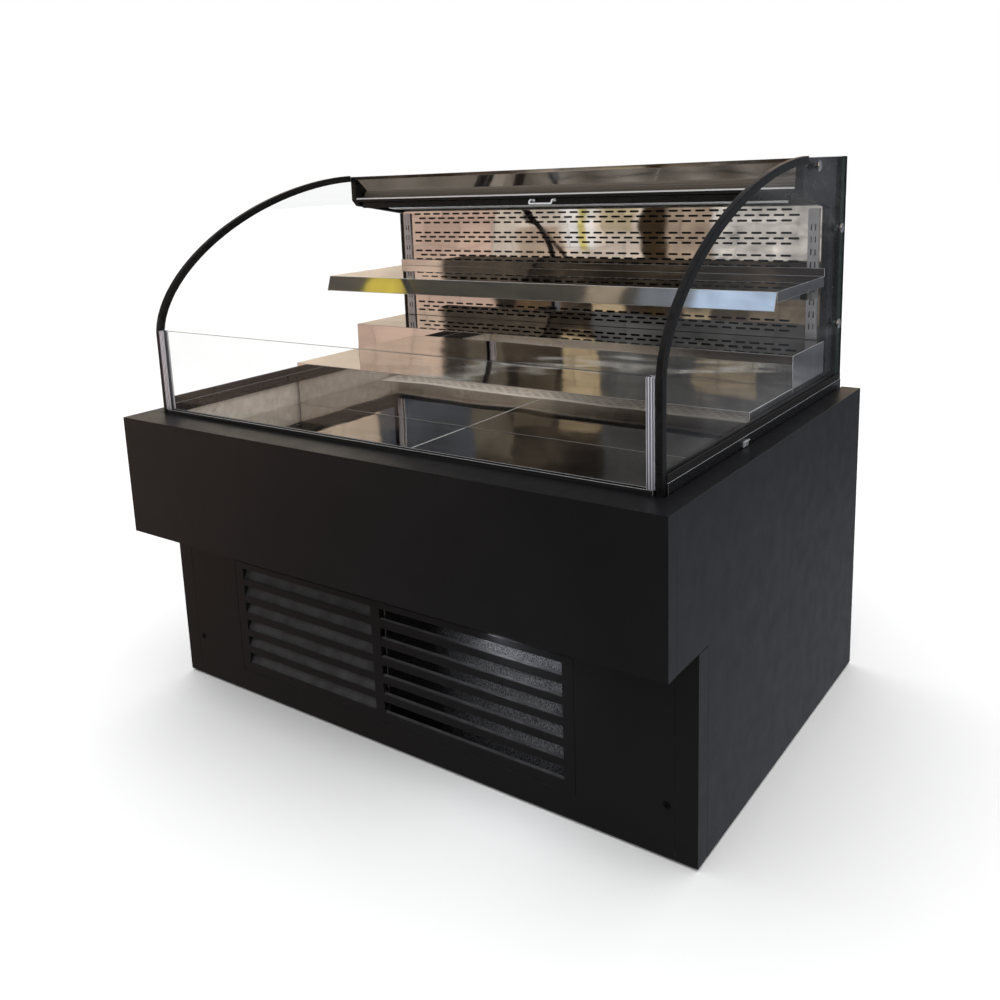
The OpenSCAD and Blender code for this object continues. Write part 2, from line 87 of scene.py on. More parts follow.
def N(nt, kind, ins=None, **props):
    """A node with its properties and inputs set; a socket as a value is linked."""
    n = nt.nodes.new(kind)
    for k, v in props.items():
        setattr(n, k, v)
    for k, v in (ins or {}).items():
        s = n.inputs[k]
        if isinstance(v, bpy.types.NodeSocket):
            nt.links.new(v, s)
        else:
            s.default_value = v
    return n


def ramp(nt, fac, stops, interp="LINEAR"):
    n = N(nt, "ShaderNodeValToRGB", {"Fac": fac})
    cr = n.color_ramp
    cr.interpolation = interp
    while len(cr.elements) < len(stops):
        cr.elements.new(0.5)
    for e, (p, c) in zip(cr.elements, stops):
        e.position = p
        e.color = (c[0], c[1], c[2], 1) if hasattr(c, "__len__") else (c, c, c, 1)
    return n.outputs[0]


def rng_map(nt, v, a, b, c, d):
    return N(nt, "ShaderNodeMapRange", {"Value": v, "From Min": a, "From Max": b, "To Min": c, "To Max": d}).outputs[0]


def mapping(nt, vec, scale=(1, 1, 1), loc=(0, 0, 0), rot=(0, 0, 0)):
    return N(nt, "ShaderNodeMapping", {"Vector": vec, "Scale": scale, "Location": loc, "Rotation": rot}).outputs[0]


def noise(nt, vec, scale, detail=3.0, rough=0.55, dist=0.0):
    return N(nt, "ShaderNodeTexNoise", {"Vector": vec, "Scale": scale, "Detail": detail, "Roughness": rough, "Distortion": dist}).outputs[0]


def bump(nt, h, strength, distance, normal=None):
    ins = {"Height": h, "Strength": strength, "Distance": distance}
    if normal is not None:
        ins["Normal"] = normal
    return N(nt, "ShaderNodeBump", ins).outputs[0]


def math_(nt, op, a, b=0.0, clamp=False):
    n = N(nt, "ShaderNodeMath", operation=op, use_clamp=clamp)
    for i, v in enumerate((a, b)):
        if isinstance(v, bpy.types.NodeSocket):
            nt.links.new(v, n.inputs[i])
        else:
            n.inputs[i].default_value = v
    return n.outputs[0]


MATS = {}


def material(name):
    m = bpy.data.materials.new(name)
    m.use_nodes = True
    nt = m.node_tree
    nt.nodes.clear()
    p = N(nt, "ShaderNodeBsdfPrincipled")
    out = N(nt, "ShaderNodeOutputMaterial")
    nt.links.new(p.outputs[0], out.inputs["Surface"])
    vec = N(nt, "ShaderNodeTexCoord").outputs["Object"]
    MATS[name] = m
    return m, nt, p, vec, out


def feed(nt, p, **ins):
    names = {"color": "Base Color", "rough": "Roughness", "normal": "Normal", "metal": "Metallic"}
    for k, v in ins.items():
        s = p.inputs[names.get(k, k)]
        if isinstance(v, bpy.types.NodeSocket):
            nt.links.new(v, s)
        else:
            s.default_value = v


def edge_wear(nt, lo=0.0, hi=1.0):
    """Lighter along convex edges, from the mesh's own curvature."""
    p = N(nt, "ShaderNodeNewGeometry").outputs["Pointiness"]
    return rng_map(nt, p, 0.52, 0.62, lo, hi)


def fold_edges(nt, flat_at=0.95, edge_at=0.86):
    """1 on the rounded folds, 0 on flats square to the frame."""
    g = N(nt, "ShaderNodeSeparateXYZ", {"Vector": N(nt, "ShaderNodeNewGeometry").outputs["Normal"]})
    a = [math_(nt, "ABSOLUTE", g.outputs[i]) for i in range(3)]
    return rng_map(nt, math_(nt, "MAXIMUM", math_(nt, "MAXIMUM", a[0], a[1]), a[2]), flat_at, edge_at, 0, 1)



# ------------------------------------------------------------------ materials

# satin powder coat on the panels
m, nt, p, v, out = material("black_panel")
big = noise(nt, v, 2.2, 3, 0.5)
mid = noise(nt, v, 26, 4, 0.6)
peel = noise(nt, v, 620, 2, 0.5)
col = ramp(nt, big, [(0.30, (0.0044, 0.0046, 0.0056)), (0.72, (0.0078, 0.0078, 0.0092))])
dust = ramp(nt, noise(nt, v, 900, 2, 0.7), [(0.66, 0.0), (0.80, 1.0)])
col = N(nt, "ShaderNodeMix", {"Factor": math_(nt, "MULTIPLY", dust, 0.05), "A": col, "B": (0.08, 0.08, 0.08, 1)}, data_type="RGBA")
# painted highlight: the folded edges are lightened as if catching the light
painted_edge_highlight = math_(nt, "MULTIPLY", fold_edges(nt), rng_map(nt, mid, 0.3, 0.7, 0.25, 0.75))
col = N(nt, "ShaderNodeMix", {"Factor": painted_edge_highlight, "A": col.outputs["Result"], "B": (0.070, 0.071, 0.078, 1)}, data_type="RGBA")
feed(nt, p, color=col.outputs["Result"], rough=rng_map(nt, mid, 0.25, 0.75, 0.33, 0.42), normal=bump(nt, peel, 0.10, 0.0004))
p.inputs["Specular IOR Level"].default_value = 0.30

# moulded and anodised black trim
m, nt, p, v, out = material("black_trim")
s = noise(nt, v, 60, 4, 0.6)
fine = noise(nt, v, 1400, 2, 0.5)
feed(nt, p, color=ramp(nt, s, [(0.3, (0.0055, 0.0055, 0.006)), (0.75, (0.011, 0.011, 0.012))]), rough=rng_map(nt, s, 0.25, 0.75, 0.22, 0.38), normal=bump(nt, fine, 0.06, 0.0003))
p.inputs["Specular IOR Level"].default_value = 0.28

# dark channel with painted highlights on its arrises
m, nt, p, v, out = material("channel_dark")
s = noise(nt, mapping(nt, v, (2, 300, 300)), 1.0, 4, 0.6)
# painted highlight: the rounded folds are coloured near white
e = fold_edges(nt)
col = N(nt, "ShaderNodeMix", {"Factor": e, "A": ramp(nt, s, [(0.3, (0.012, 0.012, 0.013)), (0.7, (0.045, 0.045, 0.047))]), "B": (0.70, 0.71, 0.74, 1)}, data_type="RGBA").outputs["Result"]
feed(nt, p, color=col, metal=0.5, rough=rng_map(nt, s, 0.3, 0.7, 0.22, 0.36), normal=bump(nt, s, 0.04, 0.0002))

# canopy trim: a painted highlight line along the bead above a black strip, and a painted warm sheen on its upward faces
m, nt, p, v, out = material("trim_bead_painted_light")
zz = N(nt, "ShaderNodeSeparateXYZ", {"Vector": v}).outputs[2]
s = noise(nt, mapping(nt, v, (2, 300, 300)), 1.0, 4, 0.6)
ny = N(nt, "ShaderNodeSeparateXYZ", {"Vector": N(nt, "ShaderNodeNewGeometry").outputs["Normal"]}).outputs[1]
# painted highlight: front faces in a thin band above z 1.0222 are coloured near white
e = math_(nt, "MULTIPLY", rng_map(nt, zz, 1.0222, 1.0226, 0, 1), rng_map(nt, ny, -0.45, -0.6, 0, 1))
nz = N(nt, "ShaderNodeSeparateXYZ", {"Vector": N(nt, "ShaderNodeNewGeometry").outputs["Normal"]}).outputs[2]
# painted sheen: upward faces are coloured warm beige
painted_top_sheen = rng_map(nt, nz, 0.6, 0.8, 0, 1)
col = N(nt, "ShaderNodeMix", {"Factor": e, "A": ramp(nt, s, [(0.3, (0.006, 0.006, 0.007)), (0.7, (0.012, 0.012, 0.013))]), "B": (0.82, 0.83, 0.85, 1)}, data_type="RGBA").outputs["Result"]
col = N(nt, "ShaderNodeMix", {"Factor": painted_top_sheen, "A": col, "B": (0.30, 0.275, 0.245, 1)}, data_type="RGBA").outputs["Result"]
feed(nt, p, color=col, metal=0.3, rough=rng_map(nt, s, 0.3, 0.7, 0.22, 0.34), normal=bump(nt, s, 0.04, 0.0002))

# black oxide screws
m, nt, p, v, out = material("screw_black")
s = noise(nt, v, 400, 3, 0.6)
feed(nt, p, color=ramp(nt, s, [(0.3, (0.0012, 0.0012, 0.0012)), (0.7, (0.0030, 0.0030, 0.0030))]), rough=rng_map(nt, s, 0.3, 0.7, 0.3, 0.5), normal=bump(nt, s, 0.05, 0.0002))
p.inputs["Specular IOR Level"].default_value = 0.2

# matt rubber
m, nt, p, v, out = material("rubber")
s = noise(nt, v, 300, 4, 0.6)
feed(nt, p, color=ramp(nt, s, [(0.3, (0.006, 0.006, 0.006)), (0.8, (0.017, 0.016, 0.016))]), rough=rng_map(nt, s, 0.2, 0.8, 0.55, 0.8), normal=bump(nt, s, 0.2, 0.0006))


def steel(name, tint_a, tint_b, r_lo, r_hi, brush_axis="X", brush=0.05, wave=0.0006, smear=1.0, edges=0.0):
    """Stainless sheet: directional grain, soft waviness and wiping marks; edges sets painted highlights on the folds.
    """
    m, nt, p, v, out = material(name)
    sc = {"X": (1.5, 900, 900), "Y": (900, 1.5, 900), "Z": (900, 900, 1.5)}[brush_axis]
    grain = noise(nt, mapping(nt, v, sc), 1.0, 4, 0.7)
    streak = noise(nt, mapping(nt, v, tuple(x / 40 if x > 2 else x * 1.2 for x in sc)), 1.0, 3, 0.6)
    wav = noise(nt, mapping(nt, v, (3.0, 5.0, 7.0)), 1.0, 2, 0.45)
    wipe = noise(nt, v, 9.0, 5, 0.62, 1.2)
    film = ramp(nt, wipe, [(0.42, 0.0), (0.70, 1.0)])
    col = ramp(nt, streak, [(0.25, tint_a), (0.75, tint_b)])
    r = rng_map(nt, math_(nt, "ADD", math_(nt, "MULTIPLY", grain, 0.45), math_(nt, "MULTIPLY", film, 0.55 * smear)), 0.1, 0.9, r_lo, r_hi)
    b = bump(nt, wav, 0.5, wave * 4)
    b = bump(nt, grain, brush, 0.0002, b)
    metal = 1.0
    if edges:
        # painted highlight: the folds are coloured pale, rougher and less metallic
        e = math_(nt, "MULTIPLY", fold_edges(nt), edges)
        col = N(nt, "ShaderNodeMix", {"Factor": e, "A": col, "B": (0.80, 0.81, 0.83, 1)}, data_type="RGBA").outputs["Result"]
        r = math_(nt, "ADD", math_(nt, "MULTIPLY", e, 0.30), r)
        metal = math_(nt, "SUBTRACT", 1.0, math_(nt, "MULTIPLY", e, 0.75))
    feed(nt, p, color=col, metal=metal, rough=r, normal=b)
    return m


steel("stainless_mirror", (0.64, 0.62, 0.60), (0.74, 0.72, 0.70), 0.012, 0.05, "X", 0.006, 0.0004, edges=0.85)
steel("stainless_fascia", (0.66, 0.63, 0.60), (0.76, 0.73, 0.70), 0.03, 0.09, "X", 0.008, 0.0006)
steel("stainless_satin", (0.56, 0.55, 0.54), (0.68, 0.67, 0.66), 0.020, 0.08, "X", 0.008, 0.0004, edges=0.85)
steel("stainless_edge", (0.74, 0.74, 0.75), (0.88, 0.88, 0.89), 0.12, 0.26, "X", 0.06, 0.0)
for anod_name, anod_axis in (("anodised", "Z"), ("anodised_long", "X")):
    anod = steel(anod_name, (0.46, 0.47, 0.50), (0.66, 0.67, 0.71), 0.22, 0.34, anod_axis, 0.03, 0.0, smear=0.3)
    next(n for n in anod.node_tree.nodes if n.type == "BSDF_PRINCIPLED").inputs["Metallic"].default_value = 0.55
steel("foot_steel", (0.38, 0.38, 0.40), (0.52, 0.52, 0.53), 0.28, 0.45, "Z", 0.1, 0.0)

# zinc-coated sheet with its spangle
m, nt, p, v, out = material("galvanised")
vo = N(nt, "ShaderNodeTexVoronoi", {"Vector": v, "Scale": 95.0}, feature="F1")
sp = N(nt, "ShaderNodeSeparateColor", {"Color": vo.outputs["Color"]}).outputs[0]
feed(nt, p, color=ramp(nt, sp, [(0.0, (0.36, 0.37, 0.39)), (1.0, (0.56, 0.57, 0.59))]), metal=0.9, rough=rng_map(nt, sp, 0, 1, 0.34, 0.52), normal=bump(nt, noise(nt, v, 400, 3), 0.08, 0.0004))

# foam board
m, nt, p, v, out = material("foam")
s = noise(nt, v, 500, 4, 0.7)
feed(nt, p, color=ramp(nt, noise(nt, v, 30, 4), [(0.3, (0.62, 0.52, 0.30)), (0.7, (0.74, 0.64, 0.40))]), rough=0.85, normal=bump(nt, s, 0.5, 0.001))

# opal lamp cover
m, nt, p, v, out = material("lamp")
s = noise(nt, v, 120, 3)
feed(nt, p, color=ramp(nt, s, [(0.3, (0.74, 0.77, 0.80)), (0.7, (0.84, 0.86, 0.88))]), rough=rng_map(nt, s, 0.3, 0.7, 0.28, 0.42), normal=bump(nt, noise(nt, mapping(nt, v, (1, 500, 500)), 1, 2), 0.1, 0.0004))

# chrome
m, nt, p, v, out = material("bright_chrome")
s = noise(nt, v, 200, 4, 0.6)
feed(nt, p, color=ramp(nt, s, [(0.3, (0.80, 0.81, 0.83)), (0.7, (0.90, 0.91, 0.92))]), metal=1.0, rough=rng_map(nt, s, 0.3, 0.75, 0.05, 0.16), normal=bump(nt, noise(nt, v, 900, 2), 0.03, 0.0002))

# brushed liner steel, softer than the pans, with painted shade darkening it towards +x
m, nt, p, v, out = material("liner_brushed")
s = noise(nt, mapping(nt, v, (3, 60, 60)), 1.0, 4, 0.6)
w = noise(nt, v, 12, 4, 0.6)
xx = N(nt, "ShaderNodeSeparateXYZ", {"Vector": v}).outputs[0]
# painted shade: the colour darkens from x -0.05 to x 0.20
painted_shade_right = rng_map(nt, math_(nt, "ADD", xx, math_(nt, "MULTIPLY", w, 0.15)), -0.05, 0.20, 1.0, 0.36)
col = ramp(nt, s, [(0.3, (0.74, 0.66, 0.58)), (0.7, (0.92, 0.87, 0.80))])
col = N(nt, "ShaderNodeMix", {"Factor": 1.0, "A": col, "B": ramp(nt, painted_shade_right, [(0.0, 0.0), (1.0, 1.0)])}, data_type="RGBA", blend_type="MULTIPLY").outputs["Result"]
feed(nt, p, color=col, metal=0.15, rough=rng_map(nt, w, 0.3, 0.7, 0.24, 0.42), normal=bump(nt, s, 0.01, 0.0002))

# ribbed corner channel: the dark and light bands along the ribs are painted shade and highlight
m, nt, p, v, out = material("channel_ribbed")
rib = N(nt, "ShaderNodeTexWave", {"Vector": v, "Scale": 72.0, "Distortion": 0.4, "Detail": 1.0}, wave_type="BANDS", bands_direction="X").outputs[1]
s = noise(nt, mapping(nt, v, (300, 300, 3)), 1.0, 3, 0.6)
feed(nt, p, color=ramp(nt, rib, [(0.10, (0.10, 0.10, 0.14)), (0.45, (0.42, 0.42, 0.50)), (0.85, (0.86, 0.86, 0.93))]), metal=0.45, rough=rng_map(nt, s, 0.3, 0.7, 0.22, 0.36), normal=bump(nt, rib, 0.25, 0.0006))

# finned coils, with painted shade darkening them towards the left
m, nt, p, v, out = material("fin_stock")
s = noise(nt, v, 330, 2, 0.8)
d = noise(nt, v, 60, 4, 0.6)
col = ramp(nt, s, [(0.40, (0.03, 0.03, 0.04)), (0.50, (0.52, 0.54, 0.60)), (0.58, (0.97, 0.98, 1.0))])
xx = N(nt, "ShaderNodeSeparateXYZ", {"Vector": v}).outputs[0]
# painted shade: the colour darkens below x 0.40 and is nearly black below x 0.13
painted_shade_left = rng_map(nt, math_(nt, "ADD", xx, math_(nt, "MULTIPLY", d, 0.10)), 0.13, 0.40, 0.04, 1.0)
col = N(nt, "ShaderNodeMix", {"Factor": 1.0, "A": col, "B": ramp(nt, painted_shade_left, [(0.0, 0.0), (1.0, 1.0)])}, data_type="RGBA", blend_type="MULTIPLY").outputs["Result"]
feed(nt, p, color=col, metal=0.0, rough=rng_map(nt, d, 0.3, 0.7, 0.35, 0.6), normal=bump(nt, s, 0.5, 0.001))

# compressor enamel
m, nt, p, v, out = material("compressor_black")
s = noise(nt, v, 40, 4, 0.6)
feed(nt, p, color=ramp(nt, s, [(0.3, (0.008, 0.008, 0.008)), (0.8, (0.02, 0.02, 0.02))]), rough=rng_map(nt, s, 0.3, 0.7, 0.18, 0.36), normal=bump(nt, noise(nt, v, 300, 2), 0.06, 0.0006))

# drawn copper, tarnished in places
m, nt, p, v, out = material("copper")
s = noise(nt, v, 34, 5, 0.65)
feed(nt, p, color=ramp(nt, s, [(0.30, (0.20, 0.085, 0.045)), (0.55, (0.62, 0.29, 0.16)), (0.80, (0.76, 0.40, 0.24))]), metal=1.0, rough=rng_map(nt, s, 0.3, 0.7, 0.22, 0.48), normal=bump(nt, noise(nt, v, 500, 2), 0.05, 0.0003))

# white plastic
m, nt, p, v, out = material("white_plastic")
s = noise(nt, v, 90, 4, 0.6)
feed(nt, p, color=ramp(nt, s, [(0.3, (0.72, 0.73, 0.77)), (0.7, (0.84, 0.85, 0.88))]), rough=rng_map(nt, s, 0.3, 0.7, 0.24, 0.4), normal=bump(nt, noise(nt, v, 900, 2), 0.06, 0.0003))
p.inputs["Subsurface Weight"].default_value = 0.08
p.inputs["Subsurface Radius"].default_value = (0.002, 0.002, 0.002)

# red rocker
m, nt, p, v, out = material("red_rocker")
s = noise(nt, v, 140, 4, 0.6)
feed(nt, p, color=ramp(nt, s, [(0.3, (0.34, 0.012, 0.010)), (0.7, (0.46, 0.022, 0.016))]), rough=rng_map(nt, s, 0.3, 0.7, 0.2, 0.34), normal=bump(nt, noise(nt, v, 900, 2), 0.06, 0.0003))

# dark display window of the controller
m, nt, p, v, out = material("display_window")
s = noise(nt, v, 60, 3)
feed(nt, p, color=ramp(nt, s, [(0.3, (0.004, 0.010, 0.016)), (0.7, (0.008, 0.018, 0.028))]), rough=rng_map(nt, s, 0.3, 0.7, 0.05, 0.12))

# woven night curtain cloth
m, nt, p, v, out = material("curtain_cloth")
warp = N(nt, "ShaderNodeTexWave", {"Vector": v, "Scale": 330.0, "Distortion": 0.6, "Detail": 1.0}, wave_type="BANDS", bands_direction="X").outputs[1]
uv = N(nt, "ShaderNodeUVMap").outputs[0]
weft = N(nt, "ShaderNodeTexWave", {"Vector": uv, "Scale": 330.0, "Distortion": 0.6, "Detail": 1.0}, wave_type="BANDS", bands_direction="Y").outputs[1]
weave = math_(nt, "MAXIMUM", warp, weft)
soil = noise(nt, v, 8, 4, 0.6)
col = ramp(nt, soil, [(0.3, (0.42, 0.43, 0.46)), (0.7, (0.58, 0.59, 0.62))])
col = N(nt, "ShaderNodeMix", {"Factor": 0.35, "A": col, "B": ramp(nt, weave, [(0.1, (0.16, 0.16, 0.18)), (0.8, (0.70, 0.71, 0.75))])}, data_type="RGBA").outputs["Result"]
feed(nt, p, color=col, rough=rng_map(nt, weave, 0, 1, 0.86, 0.62), normal=bump(nt, weave, 0.5, 0.0006))
p.inputs["Sheen Weight"].default_value = 0.15


def glass(name, pane_axis, tint, edge_col):
    """Tempered pane: clear faces with a faint film, green-grey ground edges."""
    m, nt, p, v, out = material(name)
    nrm = N(nt, "ShaderNodeNewGeometry").outputs["Normal"]
    comp = N(nt, "ShaderNodeSeparateXYZ", {"Vector": nrm}).outputs[pane_axis]
    face = math_(nt, "GREATER_THAN", math_(nt, "ABSOLUTE", comp), 0.6)
    film = noise(nt, v, 5.0, 5, 0.62, 0.8)
    wipe = noise(nt, mapping(nt, v, (2, 2, 14), rot=(0.4, 0.5, 0.2)), 1.0, 4, 0.6)
    f = math_(nt, "MULTIPLY", film, wipe)
    clear = N(nt, "ShaderNodeBsdfTransparent", {"Color": ramp(nt, f, [(0.1, tint), (0.5, tuple(x * 0.985 for x in tint))])}).outputs[0]
    gloss = N(nt, "ShaderNodeBsdfGlossy", {"Color": (1, 1, 1, 1), "Roughness": rng_map(nt, f, 0.1, 0.5, 0.0, 0.03)}).outputs[0]
    facing = N(nt, "ShaderNodeLayerWeight", {"Blend": 0.5}).outputs["Facing"]
    fres = math_(nt, "ADD", math_(nt, "MULTIPLY", math_(nt, "POWER", facing, 5.0), 0.42), 0.022)
    pane = N(nt, "ShaderNodeMixShader", {0: fres, 1: clear, 2: gloss}).outputs[0]
    feed(nt, p, color=ramp(nt, noise(nt, v, 70, 4), [(0.3, edge_col), (0.7, tuple(x * 1.5 for x in edge_col))]), rough=0.18)
    mix = N(nt, "ShaderNodeMixShader", {0: face, 1: p.outputs[0], 2: pane}).outputs[0]
    nt.links.new(mix, out.inputs["Surface"])
    return m


glass("end_glass", 0, (0.992, 0.995, 0.994), (0.035, 0.050, 0.046))
glass("front_glass", 1, (0.990, 0.994, 0.993), (0.020, 0.028, 0.027))

# clear clip
m, nt, p, v, out = material("clear_plastic")
s = noise(nt, v, 120, 3)
feed(nt, p, color=ramp(nt, s, [(0.3, (0.60, 0.63, 0.68)), (0.7, (0.78, 0.80, 0.84))]), rough=rng_map(nt, s, 0.3, 0.7, 0.08, 0.2))
p.inputs["Alpha"].default_value = 0.55

# ------------------------------------------------------------------ carried-over CAD nodes

slot_of = {r["node"]: r["material_slot"] for r in frame["record"]["subparts"]}
override = {"tub_liner": "liner_brushed", "front_glass_channels": "channel_ribbed", "canopy_trim": "trim_bead_painted_light", "glass_base_channels": "channel_dark", "canopy_fascia": "stainless_fascia"}
bevels = {"front_upper_panel": 0.0012, "side_panel_left": 0.0012, "side_panel_right": 0.0012, "louvre_grille": 0.0003,
          "front_lower_panel": 0.0004, "corner_posts": 0.0005, "canopy_end_caps": 0.0012, "canopy_trim": 0.0010,
          "canopy_fascia": 0.0004, "upper_shelf": 0.0014, "lower_step": 0.0018, "upper_step": 0.0018,
          "deck_pan_left": 0.0018, "deck_pan_right": 0.0018, "end_glass_left": 0.0006, "end_glass_right": 0.0006,
          "front_glass": 0.0006, "front_glass_channels": 0.0008, "glass_base_channels": 0.0008, "curtain_bar": 0.0010,
          "rear_posts": 0.0010, "rear_panel": 0.0004, "canopy_shell": 0.0004}
NO_BEVEL = {"refrigerant_lines", "filter_drier", "tub_liner", "insulation", "condenser_fan", "evaporator_fan_left", "evaporator_fan_right"}
for name, o in nodes.items():
    mat = MATS[override.get(name, slot_of[name])]
    if not o.data.materials:
        o.data.materials.append(mat)
    for i in range(len(o.material_slots)):
        o.material_slots[i].material = mat
    w = o.modifiers.new("weld", "WELD")
    w.merge_threshold = 0.00002
    if name not in NO_BEVEL:
        b = o.modifiers.new("edges", "BEVEL")
        b.width = bevels.get(name, 0.0005)
        b.segments = 3
        b.limit_method = "ANGLE"
        b.angle_limit = math.radians(40)
        b.harden_normals = True

# ------------------------------------------------------------------ mesh helpers


def add_mesh(name, verts, faces, mat, body, smooth=True, uvs=None):
    me = bpy.data.meshes.new(name)
    me.from_pydata([tuple(q) for q in verts], [], faces)
    me.validate()
    bm = bmesh.new()
    bm.from_mesh(me)
    bmesh.ops.recalc_face_normals(bm, faces=bm.faces)
    bm.to_mesh(me)
    bm.free()
    for poly in me.polygons:
        poly.use_smooth = smooth
    o = bpy.data.objects.new(name, me)
    scene.collection.objects.link(o)
    me.materials.append(MATS[mat])
    if body:
        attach(o, body)
    return o


def auto_smooth(o, deg=35):
    """Splits the shading at sharp edges, kept in the mesh itself."""
    me = o.data
    bm = bmesh.new()
    bm.from_mesh(me)
    for e in bm.edges:
        if len(e.link_faces) == 2 and e.calc_face_angle(0) > math.radians(deg):
            e.smooth = False
    bm.to_mesh(me)
    bm.free()


def lathe(name, profile, axis, centre, mat, body, seg=48, cap=True):
    """Turns (along, radius) points round an axis: 'x', 'y' or 'z'."""
    verts, faces = [], []
    n = len(profile)
    for k in range(seg):
        a = 2 * math.pi * k / seg
        for t, r in profile:
            c, s = r * math.cos(a), r * math.sin(a)
            q = {"x": (t, c, s), "y": (c, t, s), "z": (c, s, t)}[axis]
            verts.append(Vector(centre) + Vector(q))
    for k in range(seg):
        k2 = (k + 1) % seg
        for i in range(n - 1):
            faces.append((k * n + i, k2 * n + i, k2 * n + i + 1, k * n + i + 1))
    me_cap = []
    if cap:
        faces.append(tuple(k * n for k in range(seg)))
        faces.append(tuple(k * n + n - 1 for k in reversed(range(seg))))
    o = add_mesh(name, verts, faces, mat, body)
    auto_smooth(o)
    return o


def sweep(name, path, frames, section, mat, body, closed=False):
    """Sweeps a closed section along a path. frames gives (u, v) at each path point; section is (a, b) points."""
    verts, faces = [], []
    n = len(section)
    for q, (u, w) in zip(path, frames):
        for a, b in section:
            verts.append(Vector(q) + Vector(u) * a + Vector(w) * b)
    rows = len(path)
    for i in range(rows - 1 + (1 if closed else 0)):
        j = (i + 1) % rows
        for k in range(n):
            k2 = (k + 1) % n
            faces.append((i * n + k, i * n + k2, j * n + k2, j * n + k))
    if not closed:
        faces.append(tuple(reversed(range(n))))
        faces.append(tuple((rows - 1) * n + k for k in range(n)))
    o = add_mesh(name, verts, faces, mat, body)
    auto_smooth(o)
    return o


def round_rect(w, h, r, seg=5):
    """Closed rounded rectangle, w by h, centred."""
    pts = []
    for cx, cy, a0 in ((w / 2 - r, h / 2 - r, 0), (-w / 2 + r, h / 2 - r, 90), (-w / 2 + r, -h / 2 + r, 180), (w / 2 - r, -h / 2 + r, 270)):
        for i in range(seg + 1):
            a = math.radians(a0 + 90 * i / seg)
            pts.append((cx + r * math.cos(a), cy + r * math.sin(a)))
    return pts


def slot_loop(x0, x1, z, h, seg=5):
    r = h / 2
    pts = [(x1 - r + r * math.cos(a), z + r * math.sin(a)) for a in (math.radians(-90 + 180 * i / seg) for i in range(seg + 1))]
    pts += [(x0 + r + r * math.cos(a), z + r * math.sin(a)) for a in (math.radians(90 + 180 * i / seg) for i in range(seg + 1))]
    return pts


def plate(name, outline, holes, thick, place, mat, body, bevel=0.0):
    """Flat plate with holes: the outline and holes are (a, b) loops, and place is the matrix from (a, b, along) to the frame."""
    cu = bpy.data.curves.new(name, "CURVE")
    cu.dimensions = "2D"
    cu.fill_mode = "BOTH"
    cu.extrude = thick / 2 - bevel
    cu.bevel_depth = bevel
    cu.offset = -bevel
    cu.bevel_resolution = 0
    for loop in [outline, *holes]:
        sp = cu.splines.new("POLY")
        sp.points.add(len(loop) - 1)
        for q, (a, b) in zip(sp.points, loop):
            q.co = (a, b, 0, 1)
        sp.use_cyclic_u = True
    tmp = bpy.data.objects.new(name + "_tmp", cu)
    scene.collection.objects.link(tmp)
    bpy.context.view_layer.update()
    me = bpy.data.meshes.new_from_object(tmp.evaluated_get(bpy.context.evaluated_depsgraph_get()))
    bpy.data.objects.remove(tmp)
    me.name = name
    me.transform(place)
    bm = bmesh.new()
    bm.from_mesh(me)
    bmesh.ops.remove_doubles(bm, verts=bm.verts, dist=0.00001)
    bmesh.ops.dissolve_degenerate(bm, edges=bm.edges, dist=0.000001)
    bmesh.ops.recalc_face_normals(bm, faces=bm.faces)
    bm.to_mesh(me)
    bm.free()
    o = bpy.data.objects.new(name, me)
    scene.collection.objects.link(o)
    me.materials.clear()
    me.materials.append(MATS[mat])
    for poly in me.polygons:
        poly.use_smooth = False
    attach(o, body)
    return o


def rounded_box(name, lo, hi, r, mat, body, seg=3):
    """Box with rounded edges, in mesh code."""
    lo, hi = Vector(lo), Vector(hi)
    bm = bmesh.new()
    bmesh.ops.create_cube(bm, size=1.0)
    for q in bm.verts:
        q.co = Vector([(lo[i] + hi[i]) / 2 + q.co[i] * (hi[i] - lo[i]) for i in range(3)])
    bmesh.ops.bevel(bm, geom=bm.edges[:], offset=r, segments=seg, profile=0.5, affect="EDGES")
    me = bpy.data.meshes.new(name)
    bm.to_mesh(me)
    bm.free()
    for poly in me.polygons:
        poly.use_smooth = True
    o = bpy.data.objects.new(name, me)
    scene.collection.objects.link(o)
    me.materials.append(MATS[mat])
    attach(o, body)
    auto_smooth(o, 50)
    return o


def join(objs, name):
    """Joins rigid pieces on one body into one object."""
    bpy.ops.object.select_all(action="DESELECT")
    for o in objs:
        o.select_set(True)
    bpy.context.view_layer.objects.active = objs[0]
    bpy.ops.object.join()
    objs[0].name = name
    objs[0].data.name = name
    return objs[0]


# ------------------------------------------------------------------ perforated back panel

blo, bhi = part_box("perforated_back_panel")
front_y = blo.y
holes = []
pitch_x, slot_l, slot_h = 0.031, 0.0225, 0.0044
for z in (0.977, 0.966, 0.955, 0.930, 0.919, 0.9085, 0.884, 0.873, 0.862, 0.751, 0.740, 0.730):
    row = {0.966: 1, 0.919: 1, 0.873: 1, 0.740: 1}.get(z, 0)
    x = -0.503 + row * pitch_x / 2
    while x + slot_l < 0.5045:
        holes.append(slot_loop(x, x + slot_l, z, slot_h))
        x += pitch_x
outline = [(blo.x, blo.z), (bhi.x, blo.z), (bhi.x, 0.9835), (blo.x, 0.9835)]
place = Matrix.Translation((0, front_y + 0.0006, 0)) @ Matrix.Rotation(math.radians(90), 4, "X")
back = plate("back_panel_slotted", outline, holes, 0.0012, place, "stainless_mirror", "cabinet")
